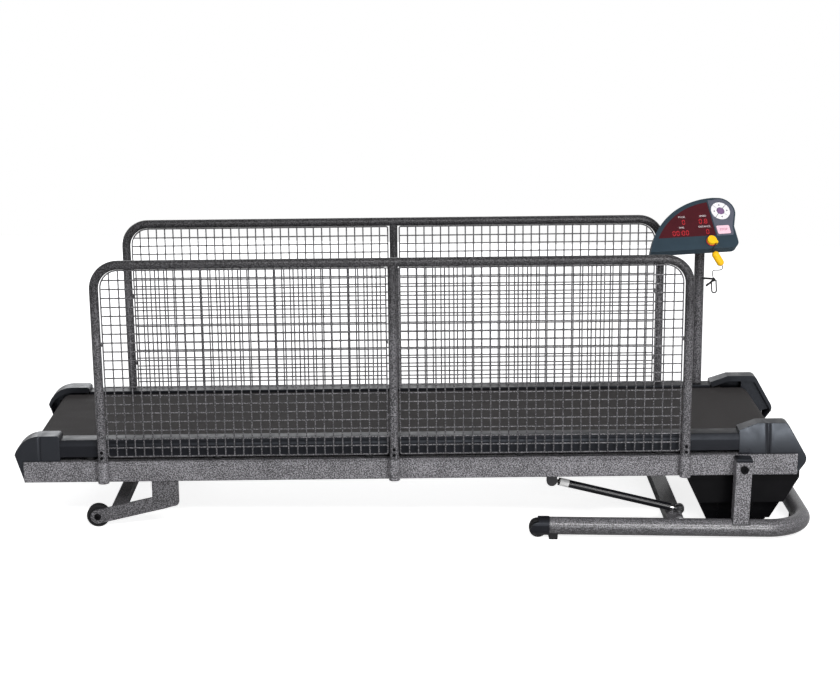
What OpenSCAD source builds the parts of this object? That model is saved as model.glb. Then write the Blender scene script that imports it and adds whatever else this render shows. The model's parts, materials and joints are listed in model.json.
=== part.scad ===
// Folding dog treadmill with mesh side guards, gas struts and a post-mounted console.
// Millimetres. +X is the front (motor) end, -Y the near side, +Z up.
// The origin is on the floor at the centre of the footprint.

/* [Deck frame] */
// Incline of the deck in degrees, front end up
incline = 1.4; // [0.8:0.1:1.8]
// Height of the fold pivot above the floor
pivot_h = 212; // [206:1:230]
// Length of each side beam
beam_len = 2160; // [2140:5:2300]
// Length of beam ahead of the fold pivot
beam_front = 156; // [150:1:160]
// Height of a side beam
beam_h = 60; // [56:1:64]
// Width of a side beam
beam_w = 40; // [38:1:46]
// Wall of a side beam
beam_wall = 2.5; // [2:0.5:4]
// Width over both side beams, with a 450 belt; the belt follows a change
frame_w = 580; // [570:2:620]
// Height of a cross member
member_h = 30; // [24:1:34]
// Width of a cross member
member_w = 40; // [30:1:46]
// Thickness of the motor mounting plate
plate_t = 4; // [3:0.5:6]

/* [Running deck] */
// Width of the running belt, in a 580 frame; the frame follows a change
belt_w = 450; // [430:2:456]
// Thickness of the running belt
belt_t = 2.2; // [1.6:0.1:3]
// Diameter of both belt rollers
roller_d = 60; // [54:1:64]
// Roller axis above the top of the beams
roller_rise = 18.5; // [17:0.5:22]
// Wall of the roller drums
roller_wall = 3; // [2:0.5:5]
// Diameter of the roller shafts
roller_shaft_d = 17; // [12:1:20]
// Front roller axis behind the front end of the beams
roller_front_inset = 78; // [72:1:84]
// Rear roller axis ahead of the rear end of the beams
roller_rear_inset = 47; // [44:1:56]
// Thickness of the deck board
board_t = 18; // [15:1:22]
// Width of the deck board, under a 450 belt in a 580 frame
board_w = 550; // [540:2:556]
// Diameter of the rubber deck cushions
cushion_d = 28; // [20:1:32]

/* [Covers] */
// Wall of the plastic covers
cover_wall = 3; // [2:0.5:4]
// Top of the side covers above the belt
cover_rise = 8; // [5:0.5:12]
// Width of the sloping outer edge of the side covers
cover_edge_w = 9; // [5:0.5:14]
// Height of the sloping outer edge of the side covers
cover_edge_h = 15.5; // [10:0.5:20]
// Gap below the outer wall of the side covers
cover_skirt_gap = 12.5; // [8:0.5:16]
// Covers and caps set back from the outer face of the beams
cover_inset = 4; // [4:0.5:8]
// Front caps, length back from the front end of the beams
front_cap_len = 164.5; // [158:0.5:170]
// Front caps, top above the beams
front_cap_rise = 86.5; // [82:0.5:95]
// Front caps, height lost along the rear ramp
front_ramp_drop = 18.5; // [10:0.5:22]
// Front caps, length of the rear ramp
front_ramp_len = 53.5; // [40:0.5:60]
// Front caps, radius of the nose
front_nose_r = 27; // [22:0.5:28]
// Front caps, slope of the front face in degrees from vertical
front_slope = 29.5; // [24:0.5:32]
// Front caps, radius between top and front face
front_shoulder_r = 18; // [10:1:24]
// Rear caps, length ahead of the rear end of the beams
rear_cap_len = 103; // [96:1:110]
// Rear caps, top above the beams
rear_cap_rise = 72.5; // [68:0.5:80]
// Rear caps, radius of the rounded end
rear_cap_r = 76; // [66:1:76]
// Rear caps, chamfer at the inner top edge
rear_cap_chamfer = 6; // [3:0.5:10]
// Depth of the inner lip of the end caps
cap_lip = 14; // [8:1:16]
// Width and depth of the decorative groove in the caps
cap_groove = 1.5; // [1:0.1:2]

/* [Side hoops] */
// Diameter of the hoop tube
hoop_d = 25; // [22:0.5:28]
// Diameter of the middle post
mid_post_d = 24; // [20:0.5:24]
// Wall of the hoop tube
hoop_wall = 1.5; // [1.2:0.1:2.5]
// Bend radius at the tube axis
hoop_bend_r = 67.5; // [55:0.5:80]
// Front post behind the fold pivot
post_front_back = 160; // [155:1:170]
// Wall of the stub sockets
stub_wall = 2.75; // [2:0.25:4]
// Bottom of the stub sockets above the bottom of the beams
stub_lift = 2.5; // [0:0.5:6]
// Height of the stub sockets above the beams
stub_rise = 4.5; // [2:0.5:8]
// Height of the two fixing screws above the beams
hoop_screw_z = [18, 34]; // [12:1:44]
// Shank diameter of the fixing screws
screw_d = 5; // [4:0.5:6]

/* [Mesh] */
// Spacing of the mesh wires
mesh_pitch = 25; // [24:0.25:25.5]
// Mesh cells along each panel
mesh_cols = 31; // [29:1:31]
// Mesh cells up each panel
mesh_rows = 21; // [17:1:23]
// Wires taken together: one in this many is modelled
wire_stride = 2; // [2:1:4]
// Diameter of the mesh wires
wire_d = 3.5; // [2:0.25:4]
// Diameter of the rim wire
rim_d = 4; // [3:0.25:6]
// Gap between a panel and the posts
mesh_gap = 3; // [2:0.5:6]
// Gap between a panel and the top rail
mesh_top_gap = 3; // [1:0.5:10]
// Axis of the lower rim wire above the beams
mesh_base = 18.5; // [14:0.5:24]
// Radius of the panel corner beside the hoop bend
mesh_corner_r = 50; // [46:1:60]

/* [Base] */
// Diameter of the base tube
base_tube_d = 50; // [45:1:52]
// Wall of the base tube
base_tube_wall = 2.5; // [2:0.5:4]
// Bend radius at the base tube axis, taken to an eighth of a millimetre
base_bend_r = 120; // [90:1:140]
// Front tube axis ahead of the fold pivot
base_front = 195; // [192:1:220]
// Rear end of the base tube behind the fold pivot
base_rear = 535; // [500:5:600]
// Height of the rubber pads under the base tube
pad_h = 10; // [8:0.5:14]
// Length of a pad along its tube
pad_len = 24; // [18:1:40]
// Width of an upright along the treadmill
upright_w = 45; // [40:1:50]
// Depth of an upright across the treadmill
upright_depth = 40; // [36:1:44]
// Wall of an upright
upright_wall = 3; // [2:0.5:4]
// Height of the plastic cap on an upright
upright_cap_h = 10; // [6:0.5:12]
// Gap between a beam and its upright
pivot_gap = 4; // [3:0.5:6]
// Diameter of the pivot bolts
pivot_bolt_d = 16; // [12:1:18]
// Outside diameter of the pivot sleeves
pivot_sleeve_d = 26; // [22:1:32]
// Cross tube axis behind the fold pivot
cross_back = 173; // [170:1:200]
// Width of the cross tube
cross_w = 45; // [36:1:50]
// Height of the cross tube
cross_h = 30; // [24:1:34]
// Top of the cross tube above the floor
cross_top = 45; // [40:0.5:46]

/* [Wheels and rollers] */
// Diameter of the rear transport wheels
wheel_d = 64; // [58:1:72]
// Width of the rear transport wheels
wheel_w = 24; // [18:1:26]
// Diameter of the wheel axles
axle_d = 10; // [8:1:12]
// Wheel axle behind the fold pivot
axle_back = 1807; // [1790:1:1830]
// Thickness of the leg plates
leg_t = 6; // [4:0.5:8]
// Width of the leg arm
leg_arm_w = 40; // [34:1:46]
// Front edge of the leg behind the fold pivot
leg_front_back = 1576; // [1560:1:1590]
// Width of the upright part of the leg
leg_w = 75; // [60:1:85]
// Width of the bar between the legs
leg_bar_w = 34; // [30:1:50]
// Height of the bar between the legs
leg_bar_h = 25; // [20:1:30]
// Diameter of the rollers in the base end caps
end_roller_d = 50; // [44:1:52]
// Width of those rollers
end_roller_w = 24; // [18:1:26]
// Clearance of those rollers above the floor
end_roller_lift = 4; // [2:0.5:8]

/* [Gas struts] */
// Diameter of a strut barrel
strut_d = 22; // [18:1:23]
// Diameter of a strut rod
rod_d = 10; // [8:1:12]
// Upper eye behind the fold pivot
strut_top_back = 527; // [515:1:540]
// Upper eye below the fold pivot
strut_top_drop = 55; // [50:1:62]
// Lower eye behind the fold pivot
strut_foot_back = 158.5; // [156:0.5:175]
// Lower eye above the floor
strut_foot_h = 61; // [60:0.5:70]
// Diameter of the strut eyes
strut_eye_d = 24; // [20:1:28]
// Width of the strut eyes
strut_eye_w = 12; // [8:1:12]
// Diameter of the strut pins
strut_pin_d = 10; // [8:1:12]
// Wall of a strut barrel
strut_wall = 2; // [1.5:0.25:3]

/* [Drive] */
// Motor axis ahead of the fold pivot
motor_front = 10; // [4:1:16]
// Motor axis below the fold pivot
motor_drop = 98; // [94:1:102]
// Diameter of the motor
motor_d = 96; // [80:1:104]
// Near and far ends of the motor, across the treadmill
motor_ends = [-160, 50]; // [-180:1:60]
// Diameter of the motor shaft
motor_shaft_d = 16; // [12:1:18]
// Diameter of the flywheel
flywheel_d = 120; // [100:1:124]
// Diameter of the motor pulley
motor_pulley_d = 32; // [26:1:40]
// Diameter of the roller pulley
roller_pulley_d = 90; // [76:1:96]
// Width of the drive belt
drive_belt_w = 10; // [6:0.5:11]
// Thickness of the drive belt
drive_belt_t = 3; // [2:0.25:4]

/* [Motor cover] */
// Wall of the motor cover
pan_wall = 3; // [2:0.5:4]
// Top rear edge behind the fold pivot
pan_back = 156; // [152:1:162]
// Top front edge ahead of the fold pivot
pan_front = 172; // [168:1:176]
// Depth of the upright front lip
pan_lip = 22; // [12:1:30]
// Floor of the cover below the fold pivot
pan_drop = 180; // [172:1:182]
// Rear and front ends of the floor, from the fold pivot
pan_floor = [-85, 96]; // [-100:1:100]
// Ledge where the cover narrows, below the fold pivot
pan_ledge = 125; // [122:1:132]

/* [Console] */
// Turn of the console towards the front, in degrees
console_yaw = 14; // [0:1:20]
// Lean of the console face from upright, in degrees
console_lean = 42; // [36:1:48]
// Lower middle of the console face, from the fold pivot
console_at = [-70, 170, 519]; // [-90:1:560]
// Depth of the console
console_t = 30; // [28:1:36]
// Depth of the console's front half
console_front_t = 12; // [10:0.5:14]
// Wall of the console shells
console_wall = 2.5; // [2:0.25:3.5]
// Radius of the long curved edge
console_arc_r = 258; // [250:1:270]
// Centre of the long curved edge at a 258 radius; the top of the console keeps its place
console_arc_at = [101, -78]; // [-90:1:120]
// Right edge of the console face
console_right = 140; // [138:1:146]
// Lower edge of the console face
console_low = 4; // [0:0.5:8]
// Radius of the lower right corner
console_corner_r = 22; // [10:1:28]
// Radius of the lobe round the keypad
console_lobe_r = 47; // [40:1:50]
// Centre of the keypad, on the console face
keypad_at = [110, 132]; // [100:1:140]
// Diameter of the keypad
keypad_d = 60; // [54:1:64]
// Diameter of the middle key
mid_key_d = 24; // [18:1:28]
// Space between keys
key_gap = 1.2; // [0.8:0.1:2]
// Height of the keys above the face
key_proud = 1.2; // [0.9:0.1:2]
// Travel of the keys
key_travel = 0.8; // [0.4:0.1:0.9]
// Width and height of the stop button
stop_size = [41, 28.5]; // [20:0.5:44]
// Centre of the stop button, on the console face
stop_at = [103, 66.5]; // [60:0.5:108]
// Frame between the long curved edge and the display window
window_frame = 13; // [10:0.5:20]
// Right edge of the display window
window_right = 74.5; // [60:0.5:76]
// Lower edge of the display window
window_low = 49; // [47:0.5:60]
// Centre of the safety key, on the console face
safety_at = [53, 28]; // [24:1:60]
// Diameter of the safety key
safety_d = 28; // [22:1:30]
// Height of the safety key above the face
safety_h = 12; // [8:0.5:14]
// Diameter of the stem of the safety key
safety_stem_d = 16; // [12:0.5:18]
// Diameter of the console post
post_d = 30; // [26:1:32]
// Wall of the console post
post_wall = 2; // [1.5:0.25:3]
// Console post behind the fold pivot
post_back = 46; // [38:1:52]
// Console post from the middle of the treadmill
post_side = 266; // [265:0.5:267]
// Width and height of the plate that carries the console
post_plate = [84, 56]; // [40:1:90]

/* [Clearances] */
// Radial clearance of turning and sliding fits
run_clear = 0.05; // [0.02:0.01:0.09]
// Gap between parts that only pass each other
pass_gap = 0.3; // [0.3:0.05:0.5]
// Gap round parts that swing past each other
swing_gap = 3; // [2.5:0.5:4]

/* [Hidden] */
$fn = 64;
cut = 1;

// Widths: frame, board and belt change together and keep their margins
frame_nominal = 580;
belt_nominal = 450;
widen = frame_w - frame_nominal + belt_w - belt_nominal;
over_w = frame_nominal + widen;
deck_w = board_w + widen;
run_w = belt_nominal + widen;
side_step = [0, widen / 2, 0];
post_y = post_side + side_step[1];
console_place = console_at + side_step;
motor_near = side_step[1] - motor_ends[0];
motor_far = -motor_ends[1];

// Deck frame: x from the fold pivot, z from its axis, along the inclined deck
beam_out = over_w / 2;
beam_in = beam_out - beam_w;
beam_rear = beam_front - beam_len;
beam_top = beam_h / 2;
beam_bot = -beam_h / 2;

// Running deck
roller_z = beam_top + roller_rise;
roller_front_x = beam_front - roller_front_inset;
roller_rear_x = beam_rear + roller_rear_inset;
belt_in_r = roller_d / 2 + pass_gap;
belt_out_r = belt_in_r + belt_t;
belt_top = roller_z + belt_out_r;
board_top = roller_z + belt_in_r - pass_gap;
board_bot = board_top - board_t;
board_end_gap = 5;
board_front_x = roller_front_x - roller_pulley_d / 2 - drive_belt_t - pass_gap - board_end_gap;
board_rear_x = roller_rear_x + belt_out_r + board_end_gap;
bracket_w = 44;
bracket_t = 8;
bracket_rim = 9;
bracket_in = beam_in + 5;

// Covers and caps
cover_out = beam_out - cover_inset;
cover_in = run_w / 2 + 2.5;
cover_top = belt_top + cover_rise;
cover_joint = 0.5;
front_cap_back = beam_front - front_cap_len;
front_cap_top = beam_top + front_cap_rise;
front_nose = [beam_front - 1.5, beam_top - 16];
rear_cap_edge = beam_rear + rear_cap_len;
rear_cap_top = beam_top + rear_cap_rise;
rear_arc = [rear_cap_edge - 55, rear_cap_top - rear_cap_r];
rear_chin_z = beam_top + 20;
rear_chin_x = rear_arc[0] - sqrt(pow(rear_cap_r, 2) - pow(rear_chin_z - rear_arc[1], 2));
rear_tuck = (beam_rear - rear_chin_x) / (rear_chin_z - beam_bot);

// Hoops and mesh
stub_d = hoop_d + 2 * (stub_wall + 0.25);
hoop_y = beam_out + stub_d / 2 - 1;
panel_w = mesh_cols * mesh_pitch + rim_d;
panel_h = mesh_rows * mesh_pitch + rim_d;
post_pitch = panel_w + 2 * mesh_gap + hoop_d;
post_x = [for (i = [0:2]) -post_front_back - i * post_pitch];
mesh_low = beam_top + mesh_base - rim_d / 2;
rail_z = mesh_low + panel_h + mesh_top_gap + hoop_d / 2;
stub_top = beam_top + stub_rise;
stub_floor = 3;
stub_bot = beam_bot + stub_lift;
post_bot = stub_bot + stub_floor;

// Base: x from the fold pivot, z from the floor
base_y = beam_out + pivot_gap + upright_depth / 2;
base_z = pad_h + base_tube_d / 2;
bend_r = round(8 * base_bend_r) / 8;
pad_bend_gap = 44;
pad_end = base_y - bend_r - pad_bend_gap;
upright_in = beam_out + pivot_gap;
upright_out = upright_in + upright_depth;
upright_top = pivot_h + beam_top - upright_cap_h;
bolt_head_t = 8;
bolt_head_d = pivot_bolt_d + 6;
bolt_socket_d = 10;
nut_d = 1.6 * pivot_bolt_d;
end_roller_x = -base_rear - 6 - end_roller_d / 2;
end_roller_z = end_roller_d / 2 + end_roller_lift;
end_cap_r = base_tube_d / 2 + 2;
end_pin_d = 8;

// Whole footprint, for the origin
x_rear = rear_chin_x * cos(incline) - rear_chin_z * sin(incline);
x_front = base_front + base_tube_d / 2;
pivot_x = -(x_rear + x_front) / 2;

// Rear legs and wheels, in the deck frame
axle_x = -axle_back;
axle_z = (wheel_d / 2 - pivot_h - axle_x * sin(incline)) / cos(incline);
leg_out = beam_out - 10;
leg_in = leg_out - leg_t;
leg_knee = [-leg_front_back - leg_w / 2, beam_bot - 62];
wheel_out = leg_in - 2;
wheel_in = wheel_out - wheel_w;
arm_angle = atan2(axle_z - leg_knee[1], axle_x - leg_knee[0]);
leg_bar_gap = 8;
leg_bar_x = axle_x + wheel_d / 2 + leg_bar_gap;
leg_bar_z = axle_z + tan(arm_angle) * (leg_bar_x - axle_x) + leg_arm_w / 2;

// Struts, in the deck frame
strut_y = beam_in - swing_gap - strut_d / 2;
strut_a = [-strut_top_back, -strut_top_drop];
foot_drop = strut_foot_h - pivot_h;
strut_b = [-strut_foot_back * cos(incline) + foot_drop * sin(incline),
  strut_foot_back * sin(incline) + foot_drop * cos(incline)];
strut_len = norm(strut_b - strut_a);
strut_angle = atan2(strut_b[1] - strut_a[1], strut_b[0] - strut_a[0]);
barrel_start = 20;
barrel_end = strut_len - 28;
guide_len = 20;
eye_in = strut_y - strut_eye_w / 2;
eye_out = strut_y + strut_eye_w / 2;
lug_t = beam_in - eye_out - pass_gap;
foot_plate_t = 6;
strut_foot_w = 38;

// Drive train, in the deck frame
motor_z = -motor_drop;
pulley_w = drive_belt_w + 2;
pan_wide = beam_in - swing_gap;
pan_narrow = strut_y - strut_d / 2 - swing_gap;
pulley_out = pan_wide - pan_wall - 2.5;
pulley_in = pulley_out - pulley_w;
plate_half = 100;
plate_ends = [-130, 140];
member_lead = 620;
member_tail = 120;
member_inset = 15;
member_bay = (beam_rear + member_tail + member_lead) / 3;
member_x = concat([plate_ends[0], plate_ends[1] - member_inset],
  [for (i = [0:3]) i * member_bay - member_lead]);
cushion_tail = 100;
cushion_lead = 230;
pan_slant_back = norm([pan_floor[0] + pan_back, pan_drop + beam_bot]) / (pan_drop + beam_bot);
pan_slant_front = norm([pan_front - pan_floor[1], pan_drop + beam_bot - pan_lip])
  / (pan_drop + beam_bot - pan_lip);

// Mains inlet and rocker switch, on the far wall of the motor cover
inlet_x = 118;
rocker_x = 78;
inlet_z = -70;
inlet_size = [30, 22];
rocker_size = [15, 22];
inlet_flange_t = 2.5;
inlet_depth = 20;
rocker_tilt = 8;
rocker_pin_d = 3;

// Console axes and its post
console_spin = [90 - console_lean, 0, console_yaw];
console_u = [cos(console_yaw), sin(console_yaw), 0];
console_n = [console_u[1] * cos(console_lean), -console_u[0] * cos(console_lean), sin(console_lean)];
console_v = [-console_u[1] * sin(console_lean), console_u[0] * sin(console_lean), cos(console_lean)];
post_plate_t = 4;
post_seat_n = -console_t - post_plate_t / 2;
post_top_z = console_at[2] + (post_seat_n - console_n[0] * (-post_back - console_at[0])
  - console_n[1] * (post_y - console_place[1])) / console_n[2];
post_flange = [44, 40, 4];
post_hit = [-post_back - console_at[0], post_y - console_place[1], post_top_z - console_at[2]];
post_plate_at = [post_hit * console_u, post_hit * console_v];
console_waist = 76;
arc_nominal = 258;
arc_mid = console_arc_at + [0, arc_nominal - console_arc_r];
key_bot = -2.4;
board_n = -6;
pcb_t = 1.6;
pcb_margin = 17;
pcb_edge = 26;
pcb_crest = 60;

// Lanyard route, in the deck frame, from the safety key to the clip
lanyard_d = 2.4;
lanyard_points = [[-8, 195, 540], [-8.8, 190.8, 538.6], [-10.8, 187.2, 535.8], [-13.6, 184.4, 532],
  [-16.4, 182.7, 528], [-18.8, 182, 524], [-20.1, 182, 519.3], [-18.6, 182, 514.2], [-15.4, 182, 509.1],
  [-12.3, 182, 504], [-9.1, 182, 498.9], [-5.9, 182, 493.8], [-2.8, 182, 488.7], [0.4, 182, 483.6],
  [3.6, 182, 478.5], [6.8, 182, 473.4], [9, 182, 469.8], [10.3, 182, 465.3], [9.2, 182, 461],
  [6, 182, 457.9], [1.8, 182, 456.8], [-3.5, 182, 456.4], [-9, 182, 456.4], [-13.6, 182, 456.2],
  [-16.6, 182, 455.4], [-18.8, 182, 453.2], [-19.6, 182, 450.2], [-19.5, 182, 445], [-18.6, 182, 440],
  [-17.3, 182, 435], [-16.2, 182, 430.5]];
lanyard_route = [for (p = lanyard_points) p + side_step];
toggle_top = [-17.6, 182, 512.6] + side_step;
toggle_tip = [8.5, 182, 470.6] + side_step;
toggle_d = 22;
clip_at = [-15.5, 182, 428] + side_step;
clip_len = 37;
clip_drop = 42;
clip_loop_r = 8.5;
clip_hub_d = 9;
clip_jaw_t = 3;
clip_w = 9;

// Placing
module on_base() { translate([pivot_x, 0, 0]) children(); }
module on_deck() { translate([pivot_x, 0, pivot_h]) rotate([0, -incline, 0]) children(); }
module on_console() { on_deck() translate(console_place) rotate(console_spin) children(); }
module on_strut() { translate([strut_a[0], -strut_y, strut_a[1]]) rotate([0, -strut_angle, 0]) children(); }
module far() { mirror([0, 1, 0]) children(); }
module both() {
  children();
  far() children();
}

// Shapes on the near side: w is the distance from the middle of the treadmill
module block(x0, x1, w0, w1, z0, z1) { translate([x0, -w1, z0]) cube([x1 - x0, w1 - w0, z1 - z0]); }
module slab(w0, w1) { translate([0, -w0, 0]) rotate([90, 0, 0]) linear_extrude(w1 - w0) children(); }
module rail(x0, x1) { translate([x0, 0, 0]) rotate([90, 0, 90]) linear_extrude(x1 - x0) children(); }
module across(x, z, d, w0, w1, sides = 64) {
  translate([x, -w0, z]) rotate([90, 0, 0]) cylinder(d = d, h = w1 - w0, $fn = sides);
}
module along(x0, x1, w, z, d) { translate([x0, -w, z]) rotate([0, 90, 0]) cylinder(d = d, h = x1 - x0); }
module quarter_bend(r, d, from) {
  rotate([0, 0, from]) rotate_extrude(angle = 90) translate([r, 0]) circle(d = d);
}
function tangent_angle(p, c, r) = atan2(p[1] - c[1], p[0] - c[0]) + acos(r / norm(p - c));
function arc(c, r, from, to, steps) =
  [for (i = [0:steps]) let (a = from + (to - from) * i / steps) c + r * [cos(a), sin(a)]];

// Base frame
module base_path(d) {
  for (s = [-1, 1]) translate([-base_rear, s * base_y, base_z])
    rotate([0, 90, 0]) cylinder(d = d, h = base_rear + base_front - bend_r);
  translate([base_front - bend_r, bend_r - base_y, base_z]) quarter_bend(bend_r, d, -90);
  translate([base_front - bend_r, base_y - bend_r, base_z]) quarter_bend(bend_r, d, 0);
  translate([base_front, base_y - bend_r, base_z])
    rotate([90, 0, 0]) cylinder(d = d, h = 2 * (base_y - bend_r));
}
module side_tube_space() { along(-base_rear - cut, base_front - bend_r, base_y, base_z, base_tube_d); }
module base_tube() {
  color("dimgray") on_base() difference() {
    base_path(base_tube_d);
    base_path(base_tube_d - 2 * base_tube_wall);
  }
}
module base_cross_tube() {
  x0 = -cross_back - cross_w / 2;
  x1 = x0 + cross_w;
  t = base_tube_wall;
  color("dimgray") on_base() difference() {
    block(x0, x1, -base_y, base_y, cross_top - cross_h, cross_top);
    block(x0 + t, x1 - t, -base_y - cut, base_y + cut, cross_top - cross_h + t, cross_top - t);
    both() side_tube_space();
  }
}
module upright_near() {
  h = upright_w / 2;
  t = upright_wall;
  difference() {
    block(-h, h, upright_in, upright_out, base_z, upright_top);
    block(t - h, h - t, upright_in + t, upright_out - t, 0, upright_top + cut);
    side_tube_space();
    across(0, pivot_h, pivot_bolt_d + 2 * run_clear, upright_in - cut, upright_out + cut);
  }
}
module uprights() { color("dimgray") on_base() both() upright_near(); }
module upright_caps() {
  h = upright_w / 2;
  t = upright_wall + pass_gap;
  plug = upright_top - (pivot_h + pivot_bolt_d / 2 + 1);
  color("black") on_base() both() {
    block(-h, h, upright_in, upright_out, upright_top, upright_top + upright_cap_h);
    block(t - h, h - t, upright_in + t, upright_out - t, upright_top - plug, upright_top);
  }
}
module pivot_bolts() {
  color("silver") on_base() both() {
    across(0, pivot_h, pivot_bolt_d, beam_in - 7, upright_out);
    difference() {
      across(0, pivot_h, bolt_head_d, upright_out, upright_out + bolt_head_t);
      across(0, pivot_h, bolt_socket_d, upright_out + bolt_head_t / 2, upright_out + bolt_head_t + cut, 6);
    }
    across(0, pivot_h, nut_d, beam_in - 7, beam_in - pass_gap, 6);
  }
}
module strut_brackets() {
  x = -strut_foot_back;
  r = strut_eye_d / 2 + 2;
  out = eye_in - pass_gap;
  front = -cross_back + cross_w / 2;
  color("dimgray") on_base() both() slab(out - foot_plate_t, out) {
    translate([x, strut_foot_h]) circle(r);
    polygon([[front - strut_foot_w, cross_top], [front, cross_top], [x + r, strut_foot_h],
      [x - r, strut_foot_h]]);
  }
}
module base_pads() {
  top = pad_h + 8;
  color("black") on_base() both() {
    difference() {
      block(-base_rear, -base_rear + pad_len, base_y - 18, base_y + 18, 0, top);
      side_tube_space();
    }
    difference() {
      block(base_front - 18, base_front + 18, pad_end - pad_len, pad_end, 0, top);
      across(base_front, base_z, base_tube_d, 0, base_y - bend_r);
    }
  }
}
module end_cap_cheek() {
  translate([end_roller_x, end_roller_z]) circle(end_roller_d / 2 - 3);
  translate([end_roller_x, base_z - end_cap_r]) square([-base_rear - end_roller_x, 2 * end_cap_r]);
}
module base_end_caps() {
  collar = 3;
  inner = end_roller_w / 2 + 1;
  shell = end_roller_d / 2 + 2;
  color("black") on_base() both() difference() {
    union() {
      intersection() {
        slab(base_y - end_cap_r + cut, base_y + end_cap_r - cut) end_cap_cheek();
        along(-base_rear - 2 * end_roller_d, -base_rear, base_y, base_z, 2 * end_cap_r);
      }
      along(-base_rear, -base_rear + 25, base_y, base_z, base_tube_d - 2 * (base_tube_wall + pass_gap));
    }
    difference() {
      slab(base_y - inner, base_y + inner) translate([end_roller_x, end_roller_z]) {
        circle(shell);
        translate([-shell, -2 * shell]) square([2 * shell, 2 * shell]);
      }
      across(end_roller_x, end_roller_z, end_pin_d, base_y - inner - cut, base_y + inner + cut);
      along(-base_rear - collar, -base_rear + 25, base_y, base_z, 2 * end_cap_r);
    }
  }
}
module end_roller() {
  difference() {
    across(end_roller_x, end_roller_z, end_roller_d, base_y - end_roller_w / 2, base_y + end_roller_w / 2);
    across(end_roller_x, end_roller_z, end_pin_d + 2 * run_clear, base_y - end_roller_w,
      base_y + end_roller_w);
  }
}
module base_roller_near() { color("black") on_base() end_roller(); }
module base_roller_far() { color("black") on_base() far() end_roller(); }

// Deck frame
module beam() {
  t = beam_wall;
  difference() {
    union() {
      difference() {
        block(beam_rear, beam_front, beam_in, beam_out, beam_bot, beam_top);
        block(beam_rear - cut, beam_front + cut, beam_in + t, beam_out - t, beam_bot + t, beam_top - t);
      }
      across(0, 0, pivot_sleeve_d, beam_in, upright_in - pass_gap);
    }
    across(0, 0, pivot_bolt_d + 2 * run_clear, beam_in - cut, upright_in);
  }
}
module beam_near() { color("dimgray") on_deck() beam(); }
module beam_far() { color("dimgray") on_deck() far() beam(); }
module cross_members() {
  h = member_w / 2;
  t = beam_wall;
  z1 = beam_bot + member_h;
  color("dimgray") on_deck() {
    for (x = member_x) difference() {
      block(x - h, x + h, -beam_in, beam_in, beam_bot, z1);
      block(x - h + t, x + h - t, -beam_in - cut, beam_in + cut, beam_bot + t, z1 - t);
    }
    block(plate_ends[0], plate_ends[1], -plate_half, plate_half, beam_bot - plate_t, beam_bot);
  }
}
module deck_board() {
  color("tan") on_deck() difference() {
    block(board_rear_x, board_front_x, -deck_w / 2, deck_w / 2, board_bot, board_top);
    far() translate([-post_back, -post_y, board_bot - cut])
      cylinder(d = post_d + 2, h = board_t + 2 * cut);
  }
}
module deck_cushions() {
  w = (beam_in + deck_w / 2) / 2 + 2;
  places = [board_rear_x + cushion_tail, member_x[4], member_x[3], member_x[2], -cushion_lead];
  color("black") on_deck() both() for (x = places)
    translate([x, -w, beam_top]) cylinder(d = cushion_d, h = board_bot - beam_top);
}
module belt_loop(r) {
  translate([roller_front_x, roller_z]) circle(r);
  translate([roller_rear_x, roller_z]) circle(r);
  translate([roller_rear_x, roller_z - r]) square([roller_front_x - roller_rear_x, 2 * r]);
}
module running_belt() {
  color([0.27, 0.26, 0.26]) on_deck() slab(-run_w / 2, run_w / 2) difference() {
    belt_loop(belt_out_r);
    belt_loop(belt_in_r);
  }
}
module roller_brackets() {
  color("gray") on_deck() both() for (x = [roller_front_x, roller_rear_x]) difference() {
    block(x - bracket_w / 2, x + bracket_w / 2, bracket_in, bracket_in + bracket_t, beam_top,
      roller_z + roller_shaft_d / 2 + bracket_rim);
    across(x, roller_z, roller_shaft_d + 2 * run_clear, bracket_in - cut, bracket_in + bracket_t + cut);
  }
}
module roller_at(x) {
  end = run_w / 2 + 2;
  difference() {
    across(x, roller_z, roller_d, -end, end);
    across(x, roller_z, roller_d - 2 * roller_wall, 12 - end, end - 12);
    for (a = [0:90:270]) translate([x, 0, roller_z]) rotate([0, a, 0])
      across(0.31 * roller_d, 0, 0.16 * roller_d, -end - cut, end + cut);
  }
  across(x, roller_z, roller_shaft_d, -bracket_in - bracket_t, bracket_in + bracket_t);
}
module front_roller() {
  color("silver") on_deck() {
    roller_at(roller_front_x);
    across(roller_front_x, roller_z, roller_pulley_d, pulley_in, pulley_out);
  }
}
module rear_roller() { color("silver") on_deck() roller_at(roller_rear_x); }

// Covers and caps
module side_cover(x0, x1) {
  t = cover_wall;
  edge = cover_out - cover_edge_w;
  edge_z = cover_top - cover_edge_h;
  skirt = beam_top + cover_skirt_gap;
  rail(x0, x1) polygon([[-cover_in, board_top], [-cover_in, cover_top], [-edge, cover_top],
    [-cover_out, edge_z], [-cover_out, skirt], [t - cover_out, skirt], [t - cover_out, edge_z - t / 3],
    [t / 3 - edge, cover_top - t], [-cover_in - t, cover_top - t], [-cover_in - t, board_top]]);
}
module side_cover_near() {
  color([0.2, 0.2, 0.2]) on_deck() side_cover(rear_cap_edge + cover_joint, front_cap_back - cover_joint);
}
module side_cover_far() {
  color([0.2, 0.2, 0.2]) on_deck() far() difference() {
    side_cover(rear_cap_edge + cover_joint, front_cap_back - cover_joint);
    translate([-post_back, -post_y, board_bot])
      cylinder(d = post_d + 2 * pass_gap, h = cover_top - board_bot + cut);
  }
}
module rear_outline(t) {
  x1 = rear_cap_edge - t;
  r = rear_cap_r - t;
  top = rear_cap_top - t;
  c = rear_cap_chamfer;
  chin = 180 - asin((rear_chin_z - rear_arc[1]) / r);
  polygon(concat([[x1, beam_top], [x1, top - c], [x1 - c, top]], arc(rear_arc, r, 90, chin, 18),
    [[beam_rear, beam_bot + 1.05 * t / rear_tuck], [beam_rear, beam_top]]));
}
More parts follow.
